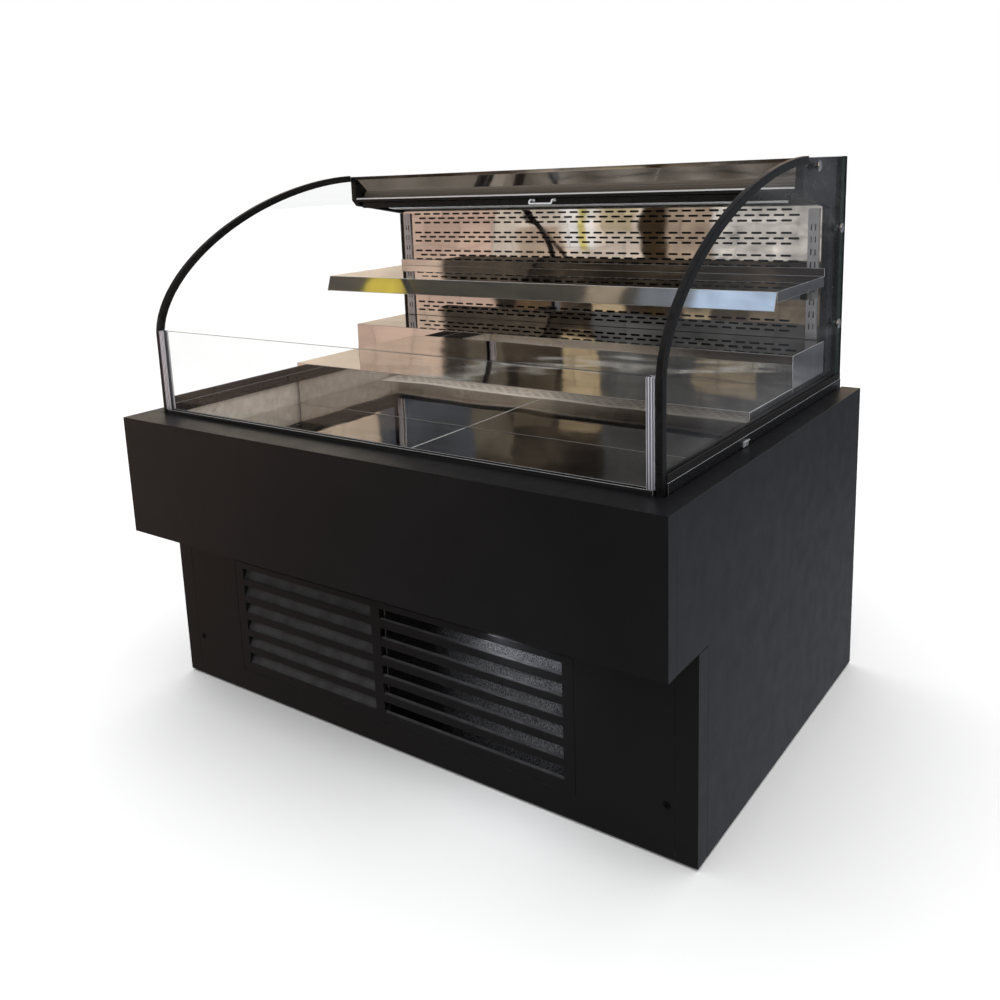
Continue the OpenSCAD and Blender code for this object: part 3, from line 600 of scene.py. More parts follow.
# folded shelf along its top edge
pts = [(front_y, 0.9835), (front_y, 0.9850)] + [(front_y + 0.0014 - 0.0014 * math.cos(a), 0.9848 + 0.0014 * math.sin(a)) for a in (math.radians(15 * i) for i in range(1, 7))] + [(bhi.y, 0.9862), (bhi.y, 0.9850), (front_y + 0.0026, 0.9850), (front_y + 0.0012, 0.9836)]
fold = sweep("back_panel_fold", [(blo.x, 0, 0), (bhi.x, 0, 0)], [((0, 1, 0), (0, 0, 1))] * 2, pts, "stainless_mirror", "cabinet")
back = join([back, fold], "back_panel_slotted")
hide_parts("perforated_back_panel")
# dark space behind the slots: a matt black sheet standing in for the shade inside the duct
plate("painted_shade_sheet", [(-0.530, 0.70), (0.530, 0.70), (0.530, 0.982), (-0.530, 0.982)], [], 0.0008,
      Matrix.Translation((0, 0.4015, 0)) @ Matrix.Rotation(math.radians(90), 4, "X"), "rubber", "cabinet")

# ------------------------------------------------------------------ shelf standards at the ends of the panel

slo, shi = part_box("shelf_brackets")
parts = []
for s in (-1, 1):
    cx = s * 0.525
    outline = [(cx - 0.011, slo.z), (cx + 0.011, slo.z), (cx + 0.011, shi.z), (cx - 0.011, shi.z)]
    hs = []
    z = slo.z + 0.02
    while z < shi.z - 0.03:
        for dx in (-0.0042, 0.0042):
            hs.append([(cx + dx - 0.0013, z), (cx + dx + 0.0013, z), (cx + dx + 0.0013, z + 0.012), (cx + dx - 0.0013, z + 0.012)])
        z += 0.025
    place = Matrix.Translation((0, slo_y := 0.3888, 0)) @ Matrix.Rotation(math.radians(90), 4, "X")
    parts.append(plate("standard", outline, hs, 0.0014, place, "anodised", "cabinet"))
    for e in (-1, 1):
        parts.append(rounded_box("flange", (cx + e * 0.0104 - 0.0006, 0.3888, slo.z), (cx + e * 0.0104 + 0.0006, 0.3919, shi.z), 0.0003, "anodised", "cabinet", 1))
    # cantilever arm: tapered blade with a folded top edge
    arm = [(0.3875, 0.8430), (0.152, 0.8430), (0.150, 0.8410), (0.150, 0.8310), (0.156, 0.8275), (0.3875, 0.7960)]
    parts.append(sweep("arm", [(cx - 0.0015, 0, 0), (cx + 0.0015, 0, 0)], [((0, 1, 0), (0, 0, 1))] * 2, arm, "stainless_satin", "cabinet"))
brackets = join(parts, "shelf_standards_and_arms")
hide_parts("shelf_brackets")

# ------------------------------------------------------------------ return air grille

glo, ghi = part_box("return_air_grille")
hs = []
for r in range(4):
    x = -0.535 + (r % 2) * 0.0135
    y = glo.y + 0.018 + r * 0.0135
    while x + 0.019 < 0.537:
        hs.append(slot_loop(x, x + 0.019, y, 0.0045))
        x += 0.027
outline = [(glo.x, glo.y), (ghi.x, glo.y), (ghi.x, ghi.y), (glo.x, ghi.y)]
grille = plate("return_grille_slotted", outline, hs, 0.0012, Matrix.Translation((0, 0, ghi.z - 0.0006)), "liner_brushed", "cabinet")
lip = rounded_box("return_grille_lip", (glo.x, ghi.y - 0.0013, glo.z - 0.0), (ghi.x, ghi.y, ghi.z - 0.0004), 0.0003, "liner_brushed", "cabinet")
grille = join([grille, lip], "return_grille_slotted")
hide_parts("return_air_grille")

# ------------------------------------------------------------------ end glass edge trims

elo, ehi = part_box("end_glass_right")
ey, ez_top, ex0, ex1 = elo.y, ehi.z, elo.x, ehi.x
c_y, c_z, c_n = 0.230, 0.775, 1.78
path = [(ey, z) for z in np.linspace(0.6064, c_z - 0.012, 26)]
for i in range(0, 141):
    t = math.radians(90 * (i / 140))
    y = c_y - (c_y - ey) * max(math.cos(t), 0) ** (2 / c_n)
    z = c_z + (ez_top - c_z) * max(math.sin(t), 0) ** (2 / c_n)
    if y > 0.2170:
        break
    path.append((y, z))
path.append((0.2190, path[-1][1] + 0.00002))
path = [path[0]] + [q for a, q in zip(path, path[1:]) if math.dist(a, q) > 0.0006]
tan = []
for i in range(len(path)):
    a, b = path[max(i - 1, 0)], path[min(i + 1, len(path) - 1)]
    l = math.dist(a, b)
    tan.append(((b[0] - a[0]) / l, (b[1] - a[1]) / l))
# outward normal is to the left of the travel, towards the shopper and up
trim_h = 0.0120
w_out, w_in = 0.0056, 0.00405


def trim_section():
    """U channel round the glass edge: (outward, across) points, across is along X from the middle of the glass."""
    r = 0.0017
    pts = []
    for cx, cy, a0 in ((0.0025 - r, w_out - r, 90), (0.0025 - r, -w_out + r, 0)):
        for i in range(6):
            a = math.radians(a0 - 90 * i / 5)
            pts.append((cx + r * math.cos(a), cy + r * math.sin(a)))
    k = 0.0006
    pts += [(-trim_h + k, -w_out), (-trim_h, -w_out + k), (-trim_h, -w_in - k * 0.3), (-trim_h + k, -w_in), (-0.00005, -w_in), (-0.00005, w_in), (-trim_h + k, w_in), (-trim_h, w_in + k * 0.3), (-trim_h, w_out - k), (-trim_h + k, w_out)]
    return pts


parts = []
for s in (-1, 1):
    cx = s * (ex0 + ex1) / 2
    p3 = [(cx, y, z) for y, z in path]
    fr = [((0, -tz, ty), (1, 0, 0)) for ty, tz in tan]
    parts.append(sweep("edge_trim", p3, fr, trim_section(), "black_trim", "cabinet"))
    # moulded foot at the bottom of the trim
    parts.append(rounded_box("trim_foot", (cx - 0.0062, -0.3655, 0.6115), (cx + 0.0062, -0.3545, 0.6345), 0.0016, "rubber", "cabinet"))
    # end plug where the trim meets the canopy
    parts.append(rounded_box("trim_joint", (cx - 0.0052, 0.2186, 1.0655), (cx + 0.0052, 0.2198, 1.0798), 0.0005, "black_trim", "cabinet"))
trims = join(parts, "edge_trims_swept")
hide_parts("glass_edge_trims")

# ------------------------------------------------------------------ chrome buttons

parts = []
for s in (-1, 1):
    for y, z in ((0.278, 1.061), (0.428, 0.938), (0.428, 0.746)):
        prof = [(0.0, 0.0099), (0.0006, 0.0100), (0.0026, 0.0100), (0.0034, 0.0096), (0.0039, 0.0088), (0.0040, 0.0078), (0.0040, 0.0040), (0.0038, 0.0036), (0.0022, 0.0034), (0.0020, 0.0030)]
        parts.append(lathe("button", [(s * t, r) for t, r in prof], "x", (s * ex1, y, z), "bright_chrome", "cabinet", seg=56))
        # shank through the glass and cushion washer behind it
        x_in = 0.0146 if z > 1 else 0.0188
        parts.append(lathe("shank", [(-s * x_in, 0.0047), (-s * (x_in - 0.001), 0.0049), (-s * 0.0001, 0.0049)], "x", (s * ex1, y, z), "bright_chrome", "cabinet", seg=32))
        if z < 1:
            parts.append(lathe("washer", [(-s * 0.0121, 0.0082), (-s * 0.0117, 0.0089), (-s * 0.0085, 0.0089), (-s * 0.0081, 0.0086)], "x", (s * ex1, y, z), "rubber", "cabinet", seg=40))
buttons = join(parts, "glass_buttons_turned")
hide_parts("glass_buttons")

# ------------------------------------------------------------------ small clips on the side channels

parts = []
for s in (-1, 1):
    for y in (-0.075,):
        sec = [(0, 0), (0.0022, 0), (0.0022, 0.0085), (0.0050, 0.0085), (0.0050, 0.0098), (0.0010, 0.0098), (0, 0.0088)]
        pth = [(s * 0.5702, y - 0.010, 0.6122), (s * 0.5702, y + 0.010, 0.6122)]
        parts.append(sweep("clip", pth, [((-s, 0, 0), (0, 0, 1))] * 2, [(-a, b) for a, b in sec], "clear_plastic", "cabinet"))
join(parts, "channel_clips")

# ------------------------------------------------------------------ pull handle of the curtain

hlo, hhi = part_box("curtain_handle")
rod = 0.0019
xl, xr, yb = hlo.x + rod, hhi.x - rod, hhi.y
zt, zl, yf = hhi.z - rod, hlo.z + rod, hlo.y + rod + 0.0005
key = [Vector(q) for q in ((xl, yb, zt), (xl, yf + 0.004, zt), (xl, yf, zl + 0.0005), (xr, yf, zl + 0.0005), (xr, yf + 0.004, zt), (xr, yb, zt))]
# round every corner of the run with a short arc
hp = [key[0]]
for i in range(1, len(key) - 1):
    p0, p1, p2 = key[i - 1], key[i], key[i + 1]
    cut = min(0.0030, (p1 - p0).length * 0.45, (p2 - p1).length * 0.45)
    qa, qb = p1 + (p0 - p1).normalized() * cut, p1 + (p2 - p1).normalized() * cut
    for k in range(9):
        t = k / 8
        hp.append(qa * (1 - t) ** 2 + p1 * 2 * t * (1 - t) + qb * t ** 2)
hp.append(key[-1])
hf = []
u = Vector((1, 0, 0))
for i in range(len(hp)):
    t = (hp[min(i + 1, len(hp) - 1)] - hp[max(i - 1, 0)]).normalized()
    u = (u - t * u.dot(t)).normalized()
    hf.append((u.copy(), t.cross(u)))
h1 = sweep("curtain_handle_bow", hp, hf, [(rod * math.cos(2 * math.pi * k / 14), rod * math.sin(2 * math.pi * k / 14)) for k in range(14)], "white_plastic", "curtain_pull")
tabs = [rounded_box("tab", (x - 0.0019 - (0.003 if x > 0 else 0), yb - 0.0020, zt - 0.0040), (x + 0.0019 + (0.003 if x < 0 else 0), yb - 0.0001, zt + 0.0019), 0.0007, "white_plastic", "curtain_pull") for x in (xl, xr)]
handle = join([h1, *tabs], "curtain_handle_bow")
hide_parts("curtain_handle")

# ------------------------------------------------------------------ night curtain: wound roll and free strip

rlo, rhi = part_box("curtain_roller")
ry, rz = (rlo.y + rhi.y) / 2, (rlo.z + rhi.z) / 2
R = 0.020
parts = []
prof = []
xe = 0.520
# wound ends: fine grooves of the turns, then the cloth's outer face
for i in range(14):
    rr = 0.0075 + (R - 0.0075) * i / 13
    prof.append((-xe + (0.0005 if i % 2 else 0.0), rr))
prof += [(-xe + 0.0008, R - 0.0001)]
prof += [(x, R - 0.00015 * (0.5 + 0.5 * math.sin(x * 47) * math.sin(x * 19 + 1))) for x in np.linspace(-xe + 0.004, xe - 0.004, 70)]
prof += [(xe - 0.0008, R - 0.0001)]
for i in reversed(range(14)):
    rr = 0.0075 + (R - 0.0075) * i / 13
    prof.append((xe - (0.0005 if i % 2 else 0.0), rr))
roll_o = lathe("curtain_roll_wound", [(t, r) for t, r in prof], "x", (0, ry, rz), "curtain_cloth", "curtain_roll", seg=72, cap=False)
tube = lathe("roller_tube", [(-0.526, 0.0066), (-0.5255, 0.0072), (0.5255, 0.0072), (0.526, 0.0066)], "x", (0, ry, rz), "anodised_long", "curtain_roll", seg=40)
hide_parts("curtain_roller")
for s in (-1, 1):
    lathe("roller_pin_" + ("left" if s < 0 else "right"), [(s * 0.5262, 0.0049), (s * 0.5355, 0.0049), (s * 0.5360, 0.0044)], "x", (0, ry, rz), "foot_steel", "curtain_roll", seg=28)

# free strip from the roll, round the guide, to the bar
y1, z1 = ry - R - 0.0011, rz
strip = [(y1, z1), (0.2580, 1.0161), (0.2484, 1.0087)]
prof = []
for i in range(9):
    t = i / 9
    prof.append((strip[0][0] + (strip[1][0] - strip[0][0]) * t, strip[0][1] + (strip[1][1] - strip[0][1]) * t))
for i in range(31):
    t = i / 30
    prof.append((strip[1][0] + (strip[2][0] - strip[1][0]) * t, strip[1][1] + (strip[2][1] - strip[1][1]) * t))
cols = 110
half = 0.0003
verts, faces = [], []
fr = []
for i in range(len(prof)):
    a, b = prof[max(i - 1, 0)], prof[min(i + 1, len(prof) - 1)]
    l = math.dist(a, b)
    fr.append(((b[1] - a[1]) / l, -(b[0] - a[0]) / l))
for side in (1, -1):
    for i, (y, z) in enumerate(prof):
        for k in range(cols + 1):
            x = -0.5195 + 1.039 * k / cols
            wv = 0.00012 * math.sin(x * 60) * math.sin(math.pi * i / (len(prof) - 1))
            verts.append((x, y + fr[i][0] * (side * half + wv), z + fr[i][1] * (side * half + wv)))
rowsn = len(prof)
base = rowsn * (cols + 1)
for i in range(rowsn - 1):
    for k in range(cols):
        a = i * (cols + 1) + k
        faces.append((a, a + 1, a + cols + 2, a + cols + 1))
        faces.append((base + a, base + a + cols + 1, base + a + cols + 2, base + a + 1))
for i in range(rowsn - 1):
    for k in (0, cols):
        a = i * (cols + 1) + k
        f = (a, a + cols + 1, base + a + cols + 1, base + a)
        faces.append(f if k == 0 else tuple(reversed(f)))
for i in (0, rowsn - 1):
    for k in range(cols):
        a = i * (cols + 1) + k
        f = (a, base + a, base + a + 1, a + 1)
        faces.append(f if i == 0 else tuple(reversed(f)))
cloth = add_mesh("curtain_strip", verts, faces, "curtain_cloth", None)
uvl = cloth.data.uv_layers.new(name="cloth")
acc = [0.0]
for a, b in zip(prof, prof[1:]):
    acc.append(acc[-1] + math.dist(a, b))
for lp in cloth.data.loops:
    vi = lp.vertex_index % base
    uvl.data[lp.index].uv = ((vi % (cols + 1)) / cols * 1.039, acc[vi // (cols + 1)])
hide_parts("curtain_fabric")
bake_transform(cloth)

# ------------------------------------------------------------------ condenser coil with its fins

klo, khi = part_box("condenser_coil")
parts = []
verts, faces = [], []
x = klo.x + 0.0165
zs = np.linspace(klo.z + 0.002, khi.z - 0.002, 26)
while x < khi.x - 0.003:
    b0 = len(verts)
    bend = rng.uniform(-0.0004, 0.0004)
    for j, z in enumerate(zs):
        dx = rng.gauss(0, 0.00028) + bend * math.sin(j * 0.7 + x * 90)
        verts += [(x + dx - 0.00006, klo.y + 0.001 + abs(rng.gauss(0, 0.0003)), z), (x + dx + 0.00012, klo.y + 0.001, z),
                  (x + dx * 0.2 + 0.00012, khi.y - 0.001, z), (x + dx * 0.2 - 0.00006, khi.y - 0.001, z)]
    n = len(zs)
    for j in range(n - 1):
        for k in range(4):
            k2 = (k + 1) % 4
            faces.append((b0 + j * 4 + k, b0 + j * 4 + k2, b0 + (j + 1) * 4 + k2, b0 + (j + 1) * 4 + k))
    faces.append((b0, b0 + 1, b0 + 2, b0 + 3))
    faces.append(tuple(b0 + (n - 1) * 4 + k for k in (3, 2, 1, 0)))
    x += 0.0024
fins = add_mesh("condenser_fins", verts, faces, "fin_stock", "cabinet", smooth=False)
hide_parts("condenser_coil")
parts = []
for xx in (-0.0392, 0.3826):
    parts.append(rounded_box("coil_plate", (xx - 0.0007, klo.y, klo.z), (xx + 0.0007, khi.y, khi.z), 0.0003, "galvanised", "cabinet", 1))
parts.append(rounded_box("coil_sill", (-0.0392, klo.y, klo.z), (0.3826, khi.y, klo.z + 0.0014), 0.0003, "galvanised", "cabinet", 1))
parts.append(rounded_box("coil_head", (-0.0392, klo.y, khi.z - 0.0014), (0.3826, khi.y, khi.z), 0.0003, "galvanised", "cabinet", 1))
join(parts, "condenser_frame")
parts = []
for z in (0.080, 0.130, 0.180, 0.230, 0.280):
    parts.append(lathe("coil_tube", [(-0.0540, 0.0044), (-0.0535, 0.0049), (0.3800, 0.0049), (0.3805, 0.0044)], "x", (0, -0.296, z), "copper", "cabinet", seg=20))
join(parts, "condenser_tubes")

# ------------------------------------------------------------------ louvre grille

llo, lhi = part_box("louvre_grille")
yf = llo.y
hs, parts = [], []
cols_x = ((-0.405, -0.048), (-0.027, 0.371))
for c, (x0, x1) in enumerate(cols_x):
    for k in range(6):
        z0, z1 = 0.085 + 0.038 * k - 0.0115, 0.085 + 0.038 * k + 0.0115
        hs.append([(x0, z0), (x1, z0), (x1, z1), (x0, z1)])
outline = [(llo.x, llo.z), (lhi.x, llo.z), (lhi.x, lhi.z), (llo.x, lhi.z)]
lou = plate("louvre_plate", outline, hs, 0.0013, Matrix.Translation((0, yf + 0.00065, 0)) @ Matrix.Rotation(math.radians(90), 4, "X"), "black_panel", "grille", bevel=0.0002)
for c, (x0, x1) in enumerate(cols_x):
    for k in range(6):
        z0, z1 = 0.085 + 0.038 * k - 0.0115, 0.085 + 0.038 * k + 0.0115
        yb_ = yf + 0.0013
        deep, top = (0.0135, z1 - 0.0015) if c == 0 else (0.0030, z0 + 0.0045)
        # pressed blade: flush at the foot of the slot, leaning in towards its top
        blade = [(yb_ - 0.0006, z0 - 0.0010), (yb_ + 0.0004, z0 - 0.0012)]
        n = 8
        face, rear = [], []
        for i in range(n + 1):
            t = i / n
            y = yb_ + deep * (t ** 0.85)
            z = z0 - 0.0006 + (top - z0) * t
            face.append((y, z))
            rear.append((y + 0.0010, z - 0.0006))
        parts.append(sweep("blade", [(x0 - 0.001, 0, 0), (x1 + 0.001, 0, 0)], [((0, 1, 0), (0, 0, 1))] * 2, face + rear[::-1], "black_panel", "grille"))
        # triangular cheek closing each end of the pressed slot
        for xe_, sx in ((x0, 1), (x1, -1)):
            tri = [(yb_ - 0.0001, z0), (yb_ + 0.0132, z1 - 0.001), (yb_ + 0.0132, z1 + 0.0006), (yb_ - 0.0001, z1 + 0.0006)]
            parts.append(sweep("cheek", [(xe_ - 0.0009 * sx, 0, 0), (xe_ + 0.0001 * sx, 0, 0)], [((0, 1, 0), (0, 0, 1))] * 2, tri, "black_trim", "grille"))
lou = join([lou, *parts], "louvre_plate")
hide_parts("louvre_grille")

# ------------------------------------------------------------------ panel screws with sockets, rear screws

parts = []
plo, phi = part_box("panel_screws")
for x in (-0.557, 0.557):
    prof = [(0.0019, 0.0), (0.0019, 0.0026), (0.0005, 0.0029), (0.0000, 0.0034), (0.0003, 0.0050), (0.0011, 0.0066), (0.0019, 0.0070), (0.0020, 0.0040), (0.0130, 0.0038)]
    parts.append(lathe("screw", [(t, max(r, 0.00001)) for t, r in prof], "y", (x, plo.y, 0.096), "screw_black", "cabinet", seg=40))
screws = join(parts, "panel_screws_turned")
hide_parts("panel_screws")

parts = []
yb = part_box("rear_panel")[1].y
rear_y = 0.4355
for x, z in [(sx * 0.592, z) for sx in (-1, 1) for z in (0.03, 0.22, 0.41, 0.585)] + [(x, 0.02) for x in (-0.3, 0.0, 0.3)]:
    prof = [(0.0, 0.0052), (0.0010, 0.0050), (0.0021, 0.0036), (0.0024, 0.0020), (0.0014, 0.0016), (0.0013, 0.00001)]
    parts.append(lathe("rear_screw", prof, "y", (x, rear_y, z), "foot_steel", "cabinet", seg=28, cap=False))
join(parts, "rear_panel_screws")

# ------------------------------------------------------------------ controller face

clo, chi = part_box("controller")
parts = [
    rounded_box("controller_body", (clo.x, clo.y, clo.z), (chi.x, chi.y - 0.0022, chi.z), 0.0022, "black_trim", "cabinet", 4),
    rounded_box("controller_bezel", (clo.x + 0.003, chi.y - 0.0024, clo.z + 0.003), (chi.x - 0.003, chi.y - 0.0012, chi.z - 0.003), 0.0005, "black_trim", "cabinet", 2),
    rounded_box("controller_window", (clo.x + 0.008, chi.y - 0.0014, clo.z + 0.009), (clo.x + 0.055, chi.y - 0.0004, chi.z - 0.009), 0.0004, "display_window", "cabinet", 2),
]
for i in range(2):
    for j in range(2):
        bx, bz = clo.x + 0.068 + i * 0.018, clo.z + 0.014 + j * 0.014
        parts.append(lathe("key", [(-0.0014, 0.0048), (-0.0006, 0.0046), (-0.0002, 0.0038), (-0.0001, 0.00001)], "y", (bx, chi.y, bz), "rubber", "cabinet", seg=28, cap=False))
ctl = join(parts, "controller_unit")
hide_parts("controller")

# ------------------------------------------------------------------ floor, lights and surroundings

me = bpy.data.meshes.new("floor")
bm = bmesh.new()
bmesh.ops.create_grid(bm, x_segments=8, y_segments=8, size=30)
bm.to_mesh(me)
bm.free()
floor = bpy.data.objects.new("floor", me)
floor.location = (0, 0, -0.0005)
scene.collection.objects.link(floor)
m, nt, p, v, out = material("floor_pale")
s = noise(nt, v, 3, 4)
feed(nt, p, color=ramp(nt, s, [(0.3, (0.955, 0.955, 0.955)), (0.7, (0.965, 0.965, 0.965))]), rough=rng_map(nt, s, 0.3, 0.7, 0.7, 0.8))
p.inputs["Specular IOR Level"].default_value = 0.0
me.materials.append(m)
floor.visible_glossy = False


def area(name, loc, aim, size, power, colour=(1, 1, 1), glossy=True, size_y=None):
    d = bpy.data.lights.new(name, "AREA")
    d.energy, d.color, d.size = power, colour, size
    if size_y:
        d.shape, d.size_y = "RECTANGLE", size_y
    o = bpy.data.objects.new(name, d)
    o.location = loc
    o.rotation_mode = "QUATERNION"
    o.rotation_quaternion = (Vector(aim) - Vector(loc)).to_track_quat("-Z", "Y")
    scene.collection.objects.link(o)
    o.visible_glossy = glossy
    return o


area("key", (-1.6, 0.6, 4.2), (0, 0, 0.4), 1.6, 9, (1, 0.99, 0.98), glossy=False)
area("front", (1.0, -3.4, 3.0), (0, 0, 0.5), 2.4, 11, (0.97, 0.98, 1.0), glossy=False)
area("bay", (0.215, -0.3312, 0.3100), (0.225, -0.3190, 0.150), 0.32, 0.55, (0.96, 0.98, 1.0), glossy=False, size_y=0.006)

world = bpy.data.worlds.new("studio")
world.use_nodes = True
nt = world.node_tree
nt.nodes.clear()
out = N(nt, "ShaderNodeOutputWorld")
d = N(nt, "ShaderNodeTexCoord").outputs["Generated"]
sep = N(nt, "ShaderNodeSeparateXYZ", {"Vector": d})
wob = noise(nt, mapping(nt, d, (9, 9, 14)), 1.0, 3, 0.5)
wob2 = noise(nt, mapping(nt, d, (8, 11, 12), (3, 1, 2)), 1.0, 3, 0.5)
az = math_(nt, "ADD", math_(nt, "MULTIPLY", math_(nt, "ARCTAN2", sep.outputs[0], math_(nt, "MULTIPLY", sep.outputs[1], -1.0)), 57.2958), math_(nt, "MULTIPLY", math_(nt, "SUBTRACT", wob, 0.5), 1.6))
el = math_(nt, "ADD", math_(nt, "MULTIPLY", math_(nt, "ARCSINE", sep.outputs[2]), 57.2958), math_(nt, "MULTIPLY", math_(nt, "SUBTRACT", wob2, 0.5), 0.9))
flat = N(nt, "ShaderNodeCombineXYZ", {"X": az, "Y": el}).outputs[0]


def step(v, a, soft):
    return N(nt, "ShaderNodeMapRange", {"Value": v, "From Min": a - soft, "From Max": a + soft}, interpolation_type="SMOOTHSTEP").outputs[0]


def box(a0, a1, e0, e1, soft=0.15):
    """Mask, 1 inside a window of azimuth and elevation in degrees."""
    m1 = math_(nt, "SUBTRACT", step(az, a0, soft), step(az, a1, soft))
    m2 = math_(nt, "SUBTRACT", step(el, e0, soft), step(el, e1, soft))
    return math_(nt, "MULTIPLY", m1, m2)


def over(base, col, mask, vary=0.25, scale=0.35):
    """Lays one colour over the rest where the mask is 1, a little uneven."""
    n = noise(nt, mapping(nt, flat, (scale, scale * 1.6, 1)), 1.0, 4, 0.6)
    c = ramp(nt, n, [(0.3, tuple(x * (1 - vary) for x in col)), (0.7, tuple(x * (1 + vary) for x in col))])
    return N(nt, "ShaderNodeMix", {"Factor": mask, "A": base, "B": c}, data_type="RGBA").outputs["Result"]


# a store room of cartons, racks and dark gaps, seen only in reflections
env = ramp(nt, noise(nt, mapping(nt, flat, (0.20, 0.32, 1)), 1.0, 5, 0.65, 0.4), [(0.30, (0.014, 0.011, 0.009)), (0.50, (0.045, 0.036, 0.028)), (0.66, (0.13, 0.100, 0.074)), (0.80, (0.32, 0.26, 0.20))])
# overhead: ribs of a roof
ribs = N(nt, "ShaderNodeTexWave", {"Vector": flat, "Scale": 0.075, "Distortion": 2.5, "Detail": 3.0, "Detail Scale": 0.4}, wave_type="BANDS", bands_direction="X").outputs[1]
roof = ramp(nt, ribs, [(0.10, (0.15, 0.135, 0.115)), (0.55, (0.30, 0.27, 0.235)), (0.95, (0.42, 0.395, 0.36))])
roof = N(nt, "ShaderNodeMix", {"Factor": step(el, 34.5, 2.0), "A": ramp(nt, ribs, [(0.10, (0.012, 0.011, 0.010)), (0.70, (0.085, 0.076, 0.065)), (0.95, (0.16, 0.145, 0.125))]), "B": roof}, data_type="RGBA").outputs["Result"]
env = N(nt, "ShaderNodeMix", {"Factor": step(el, 29.0, 1.5), "A": env, "B": roof}, data_type="RGBA").outputs["Result"]
# floor of the room
gnd = ramp(nt, noise(nt, mapping(nt, flat, (0.08, 0.10, 1)), 1.0, 5, 0.6, 0.6), [(0.30, (0.09, 0.085, 0.080)), (0.70, (0.24, 0.225, 0.21))])
env = N(nt, "ShaderNodeMix", {"Factor": step(el, -27.0, 2.0), "A": gnd, "B": env}, data_type="RGBA").outputs["Result"]
env = over(env, (0.20, 0.175, 0.15), box(-70, -40, -60, -29, 2.0), 0.45, 0.35)
env = over(env, (0.034, 0.040, 0.052), box(-49, 100, -27, -15.5, 2.0), 0.3, 0.05)
# walls and cartons in front of the case
env = over(env, (0.80, 0.57, 0.46), box(-75, -35.2, -14.2, -1.2, 0.25), 0.20, 0.16)
env = over(env, (0.46, 0.31, 0.24), box(-80, -52.5, -27, -14, 2.5), 0.2, 0.1)
env = over(env, (0.86, 0.74, 0.63), box(-35.2, -26.9, -5.7, -0.4, 0.10), 0.26, 0.30)
env = over(env, (0.62, 0.47, 0.36), box(-33.8, -31.4, -5.7, -3.1, 0.12), 0.2, 0.5)
env = over(env, (1.05, 1.02, 0.98), box(-31.2, -29.3, -4.2, -0.9, 0.15), 0.22, 0.6)
env = over(env, (0.72, 0.62, 0.22), box(-30.3, -29.8, -4.3, -0.6, 0.08), 0.3, 0.9)
env = over(env, (0.62, 0.52, 0.34), box(-29.0, -27.2, -3.4, -0.4, 0.12), 0.3, 0.6)
env = over(env, (0.055, 0.036, 0.020), box(-26.9, -25.6, -9.4, 1.0, 0.08), 0.4, 0.6)
env = over(env, (0.44, 0.34, 0.26), box(-25.6, -23.0, -5.8, -0.4, 0.12), 0.35, 0.6)
env = over(env, (0.74, 0.70, 0.66), box(-23.0, -10.0, -5.9, -0.4, 0.2), 0.70, 1.0)
env = over(env, (0.030, 0.026, 0.022), box(-35.0, -10.0, -6.15, -5.75, 0.07), 0.3, 0.5)
env = over(env, (0.60, 0.46, 0.29), box(-29.7, -27.8, -9.3, -6.6, 0.08), 0.15, 0.8)
env = over(env, (0.50, 0.39, 0.25), box(-24.7, -23.1, -8.9, -7.6, 0.08), 0.15, 0.8)
env = over(env, (0.20, 0.16, 0.12), box(-21.0, -14.0, -9.4, -6.8, 0.15), 0.5, 0.7)
env = over(env, (0.17, 0.11, 0.065), box(-34.0, -31.4, -9.6, -6.4, 0.10), 0.4, 0.9)
env = over(env, (0.60, 0.47, 0.28), box(-34.2, -32.0, -14.4, -9.8, 0.10), 0.18, 0.7)
env = over(env, (0.10, 0.11, 0.12), box(-41.0, -35.2, -15.0, -9.3, 0.10), 0.3, 0.4)
env = over(env, (0.21, 0.18, 0.14), box(-28.5, -22.5, -13.2, -10.0, 0.10), 0.35, 0.7)
# higher up, seen in the deck
env = over(env, (0.90, 0.68, 0.54), box(-75, -38.3, 3.0, 11.2, 0.2), 0.25, 0.22)
env = over(env, (0.90, 0.72, 0.56), box(-75, -42.5, 11.2, 18.6, 0.2), 0.28, 0.22)
env = over(env, (1.15, 1.10, 1.00), box(-55.0, -47.5, 12.2, 15.0, 0.15), 0.12, 0.4)
env = over(env, (0.075, 0.090, 0.115), box(-42.5, -36.8, 11.2, 19.0, 0.12), 0.3, 0.4)
env = over(env, (0.16, 0.135, 0.10), box(-36.8, -34.6, 9.0, 16.0, 0.12), 0.45, 0.6)
env = over(env, (0.60, 0.47, 0.29), box(-31.7, -29.5, 9.4, 14.6, 0.10), 0.22, 0.8)
env = over(env, (0.10, 0.10, 0.10), box(-29.5, -18.0, 7.0, 20.0, 0.15), 0.5, 0.3)
env = over(env, (0.32, 0.26, 0.18), box(-24.0, -20.4, 10.6, 12.8, 0.10), 0.3, 0.6)
env = over(env, (0.60, 0.60, 0.58), box(-40.0, -18.0, 10.9, 11.15, 0.05), 0.5, 1.2)
env = over(env, (0.050, 0.044, 0.032), box(-70, -10, 20.0, 30.8, 0.4), 0.6, 0.5)
env = over(env, (0.85, 0.66, 0.05), box(-46.4, -44.3, 20.6, 25.0, 0.10), 0.15, 0.6)
env = over(env, (0.34, 0.27, 0.19), box(-33.6, -31.4, 24.0, 29.0, 0.10), 0.3, 0.6)
env = over(env, (0.17, 0.19, 0.22), box(-30.4, -27.2, 25.5, 30.6, 0.15), 0.3, 0.6)
env = over(env, (0.62, 0.80, 1.08), box(-27.2, -20.0, 26.3, 30.4, 0.12), 0.22, 0.7)
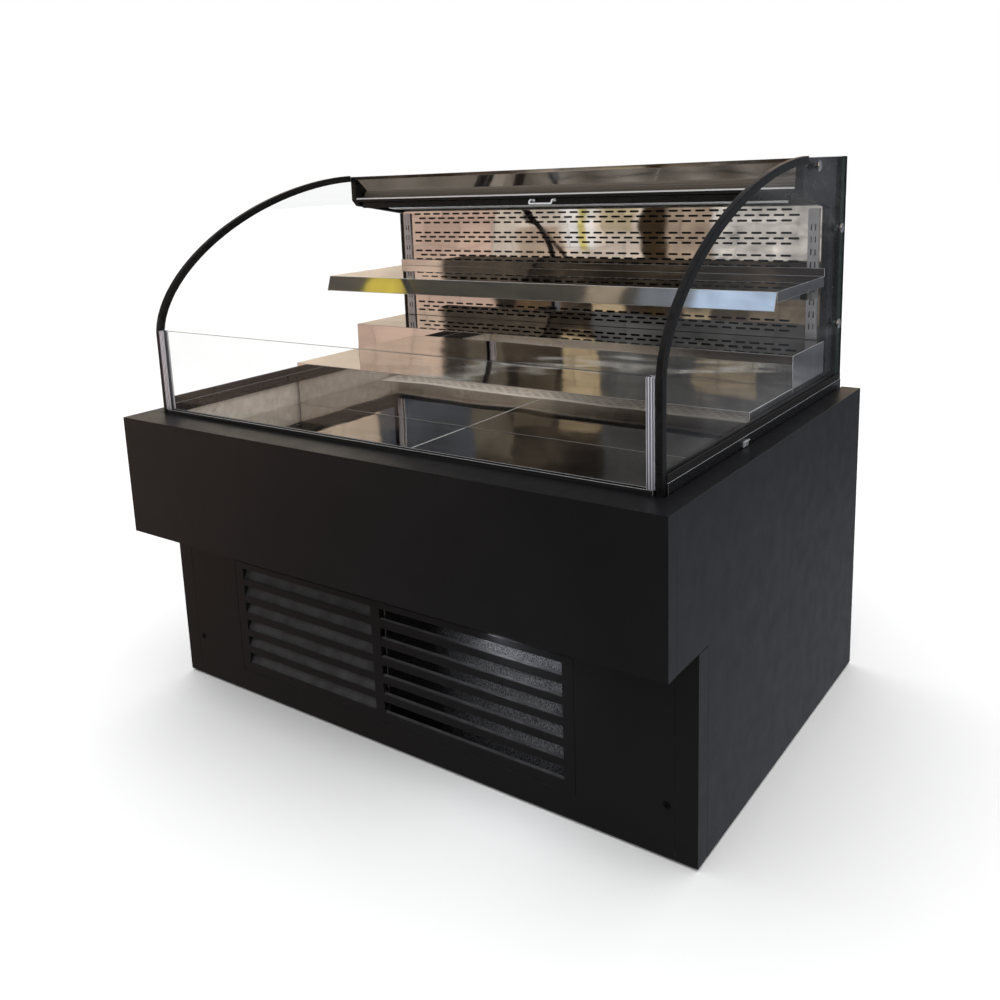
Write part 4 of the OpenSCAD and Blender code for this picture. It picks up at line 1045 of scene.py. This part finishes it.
# seams between cartons and boards
seam = N(nt, "ShaderNodeTexBrick", {"Vector": mapping(nt, flat, (0.30, 0.30, 1), (0.3, 0.13, 0)), "Scale": 1.0, "Mortar Size": 0.010, "Mortar Smooth": 0.4, "Brick Width": 0.62, "Row Height": 0.55,
                                   "Color1": (1, 1, 1, 1), "Color2": (0.72, 0.72, 0.72, 1), "Mortar": (0.25, 0.25, 0.25, 1), "Bias": -0.2}).outputs[0]
env = N(nt, "ShaderNodeMix", {"Factor": box(-75, -10, -15, 26, 1.0), "A": env, "B": N(nt, "ShaderNodeMix", {"Factor": 0.8, "A": env, "B": seam}, data_type="RGBA", blend_type="MULTIPLY").outputs["Result"]}, data_type="RGBA").outputs["Result"]
# a strap hanging across
strap = math_(nt, "ABSOLUTE", math_(nt, "ADD", math_(nt, "ADD", az, 33.9), math_(nt, "MULTIPLY", math_(nt, "ADD", el, 1.2), 0.72)))
strap = math_(nt, "MULTIPLY", math_(nt, "SUBTRACT", 1.0, step(strap, 0.16, 0.04)), box(-36, -27, -6.2, 1.0, 0.1))
env = over(env, (0.03, 0.022, 0.016), strap, 0.2, 0.5)
# bright wall behind and to the side of the case
behind = step(math_(nt, "ABSOLUTE", az), 112.0, 8.0)
wall = ramp(nt, noise(nt, mapping(nt, flat, (0.10, 0.16, 1)), 1.0, 4, 0.6, 0.5), [(0.30, (0.045, 0.050, 0.060)), (0.52, (0.15, 0.16, 0.18)), (0.66, (0.40, 0.41, 0.44)), (0.80, (0.85, 0.86, 0.88))])
env = N(nt, "ShaderNodeMix", {"Factor": behind, "A": env, "B": wall}, data_type="RGBA").outputs["Result"]
env = over(env, (0.32, 0.34, 0.38), box(120, 181, -60, -17.5, 1.5), 0.2, 0.08)
env = over(env, (0.95, 0.78, 0.62), box(22, 110, 2.0, 30.0, 1.0), 0.30, 0.12)
env = over(env, (0.80, 0.66, 0.52), box(-178, -96, 3.0, 27.0, 0.4), 0.30, 0.14)
env = over(env, (1.20, 1.16, 1.05), box(-140, -118, 11.5, 14.5, 0.2), 0.12, 0.3)
env = over(env, (0.10, 0.11, 0.13), box(-120, -112, 3.0, 22.0, 0.3), 0.3, 0.3)
env = over(env, (0.55, 0.42, 0.30), box(-165, -146, 5.0, 18.0, 0.2), 0.3, 0.3)
lp = N(nt, "ShaderNodeLightPath")
white = N(nt, "ShaderNodeBackground", {"Color": (1, 1, 1, 1), "Strength": 1.0}).outputs[0]
overhead = ramp(nt, sep.outputs[2], [(0.0, 0.16), (0.55, 0.17), (0.84, 0.60), (1.0, 1.0)])
dome = N(nt, "ShaderNodeBackground", {"Color": overhead, "Strength": 2.55}).outputs[0]
refl = N(nt, "ShaderNodeBackground", {"Color": env, "Strength": 1.0}).outputs[0]
a = N(nt, "ShaderNodeMixShader", {0: lp.outputs["Is Glossy Ray"], 1: dome, 2: refl}).outputs[0]
b = N(nt, "ShaderNodeMixShader", {0: lp.outputs["Is Camera Ray"], 1: a, 2: white}).outputs[0]
nt.links.new(b, out.inputs["Surface"])
scene.world = world

# ------------------------------------------------------------------ end

bpy.context.view_layer.update()
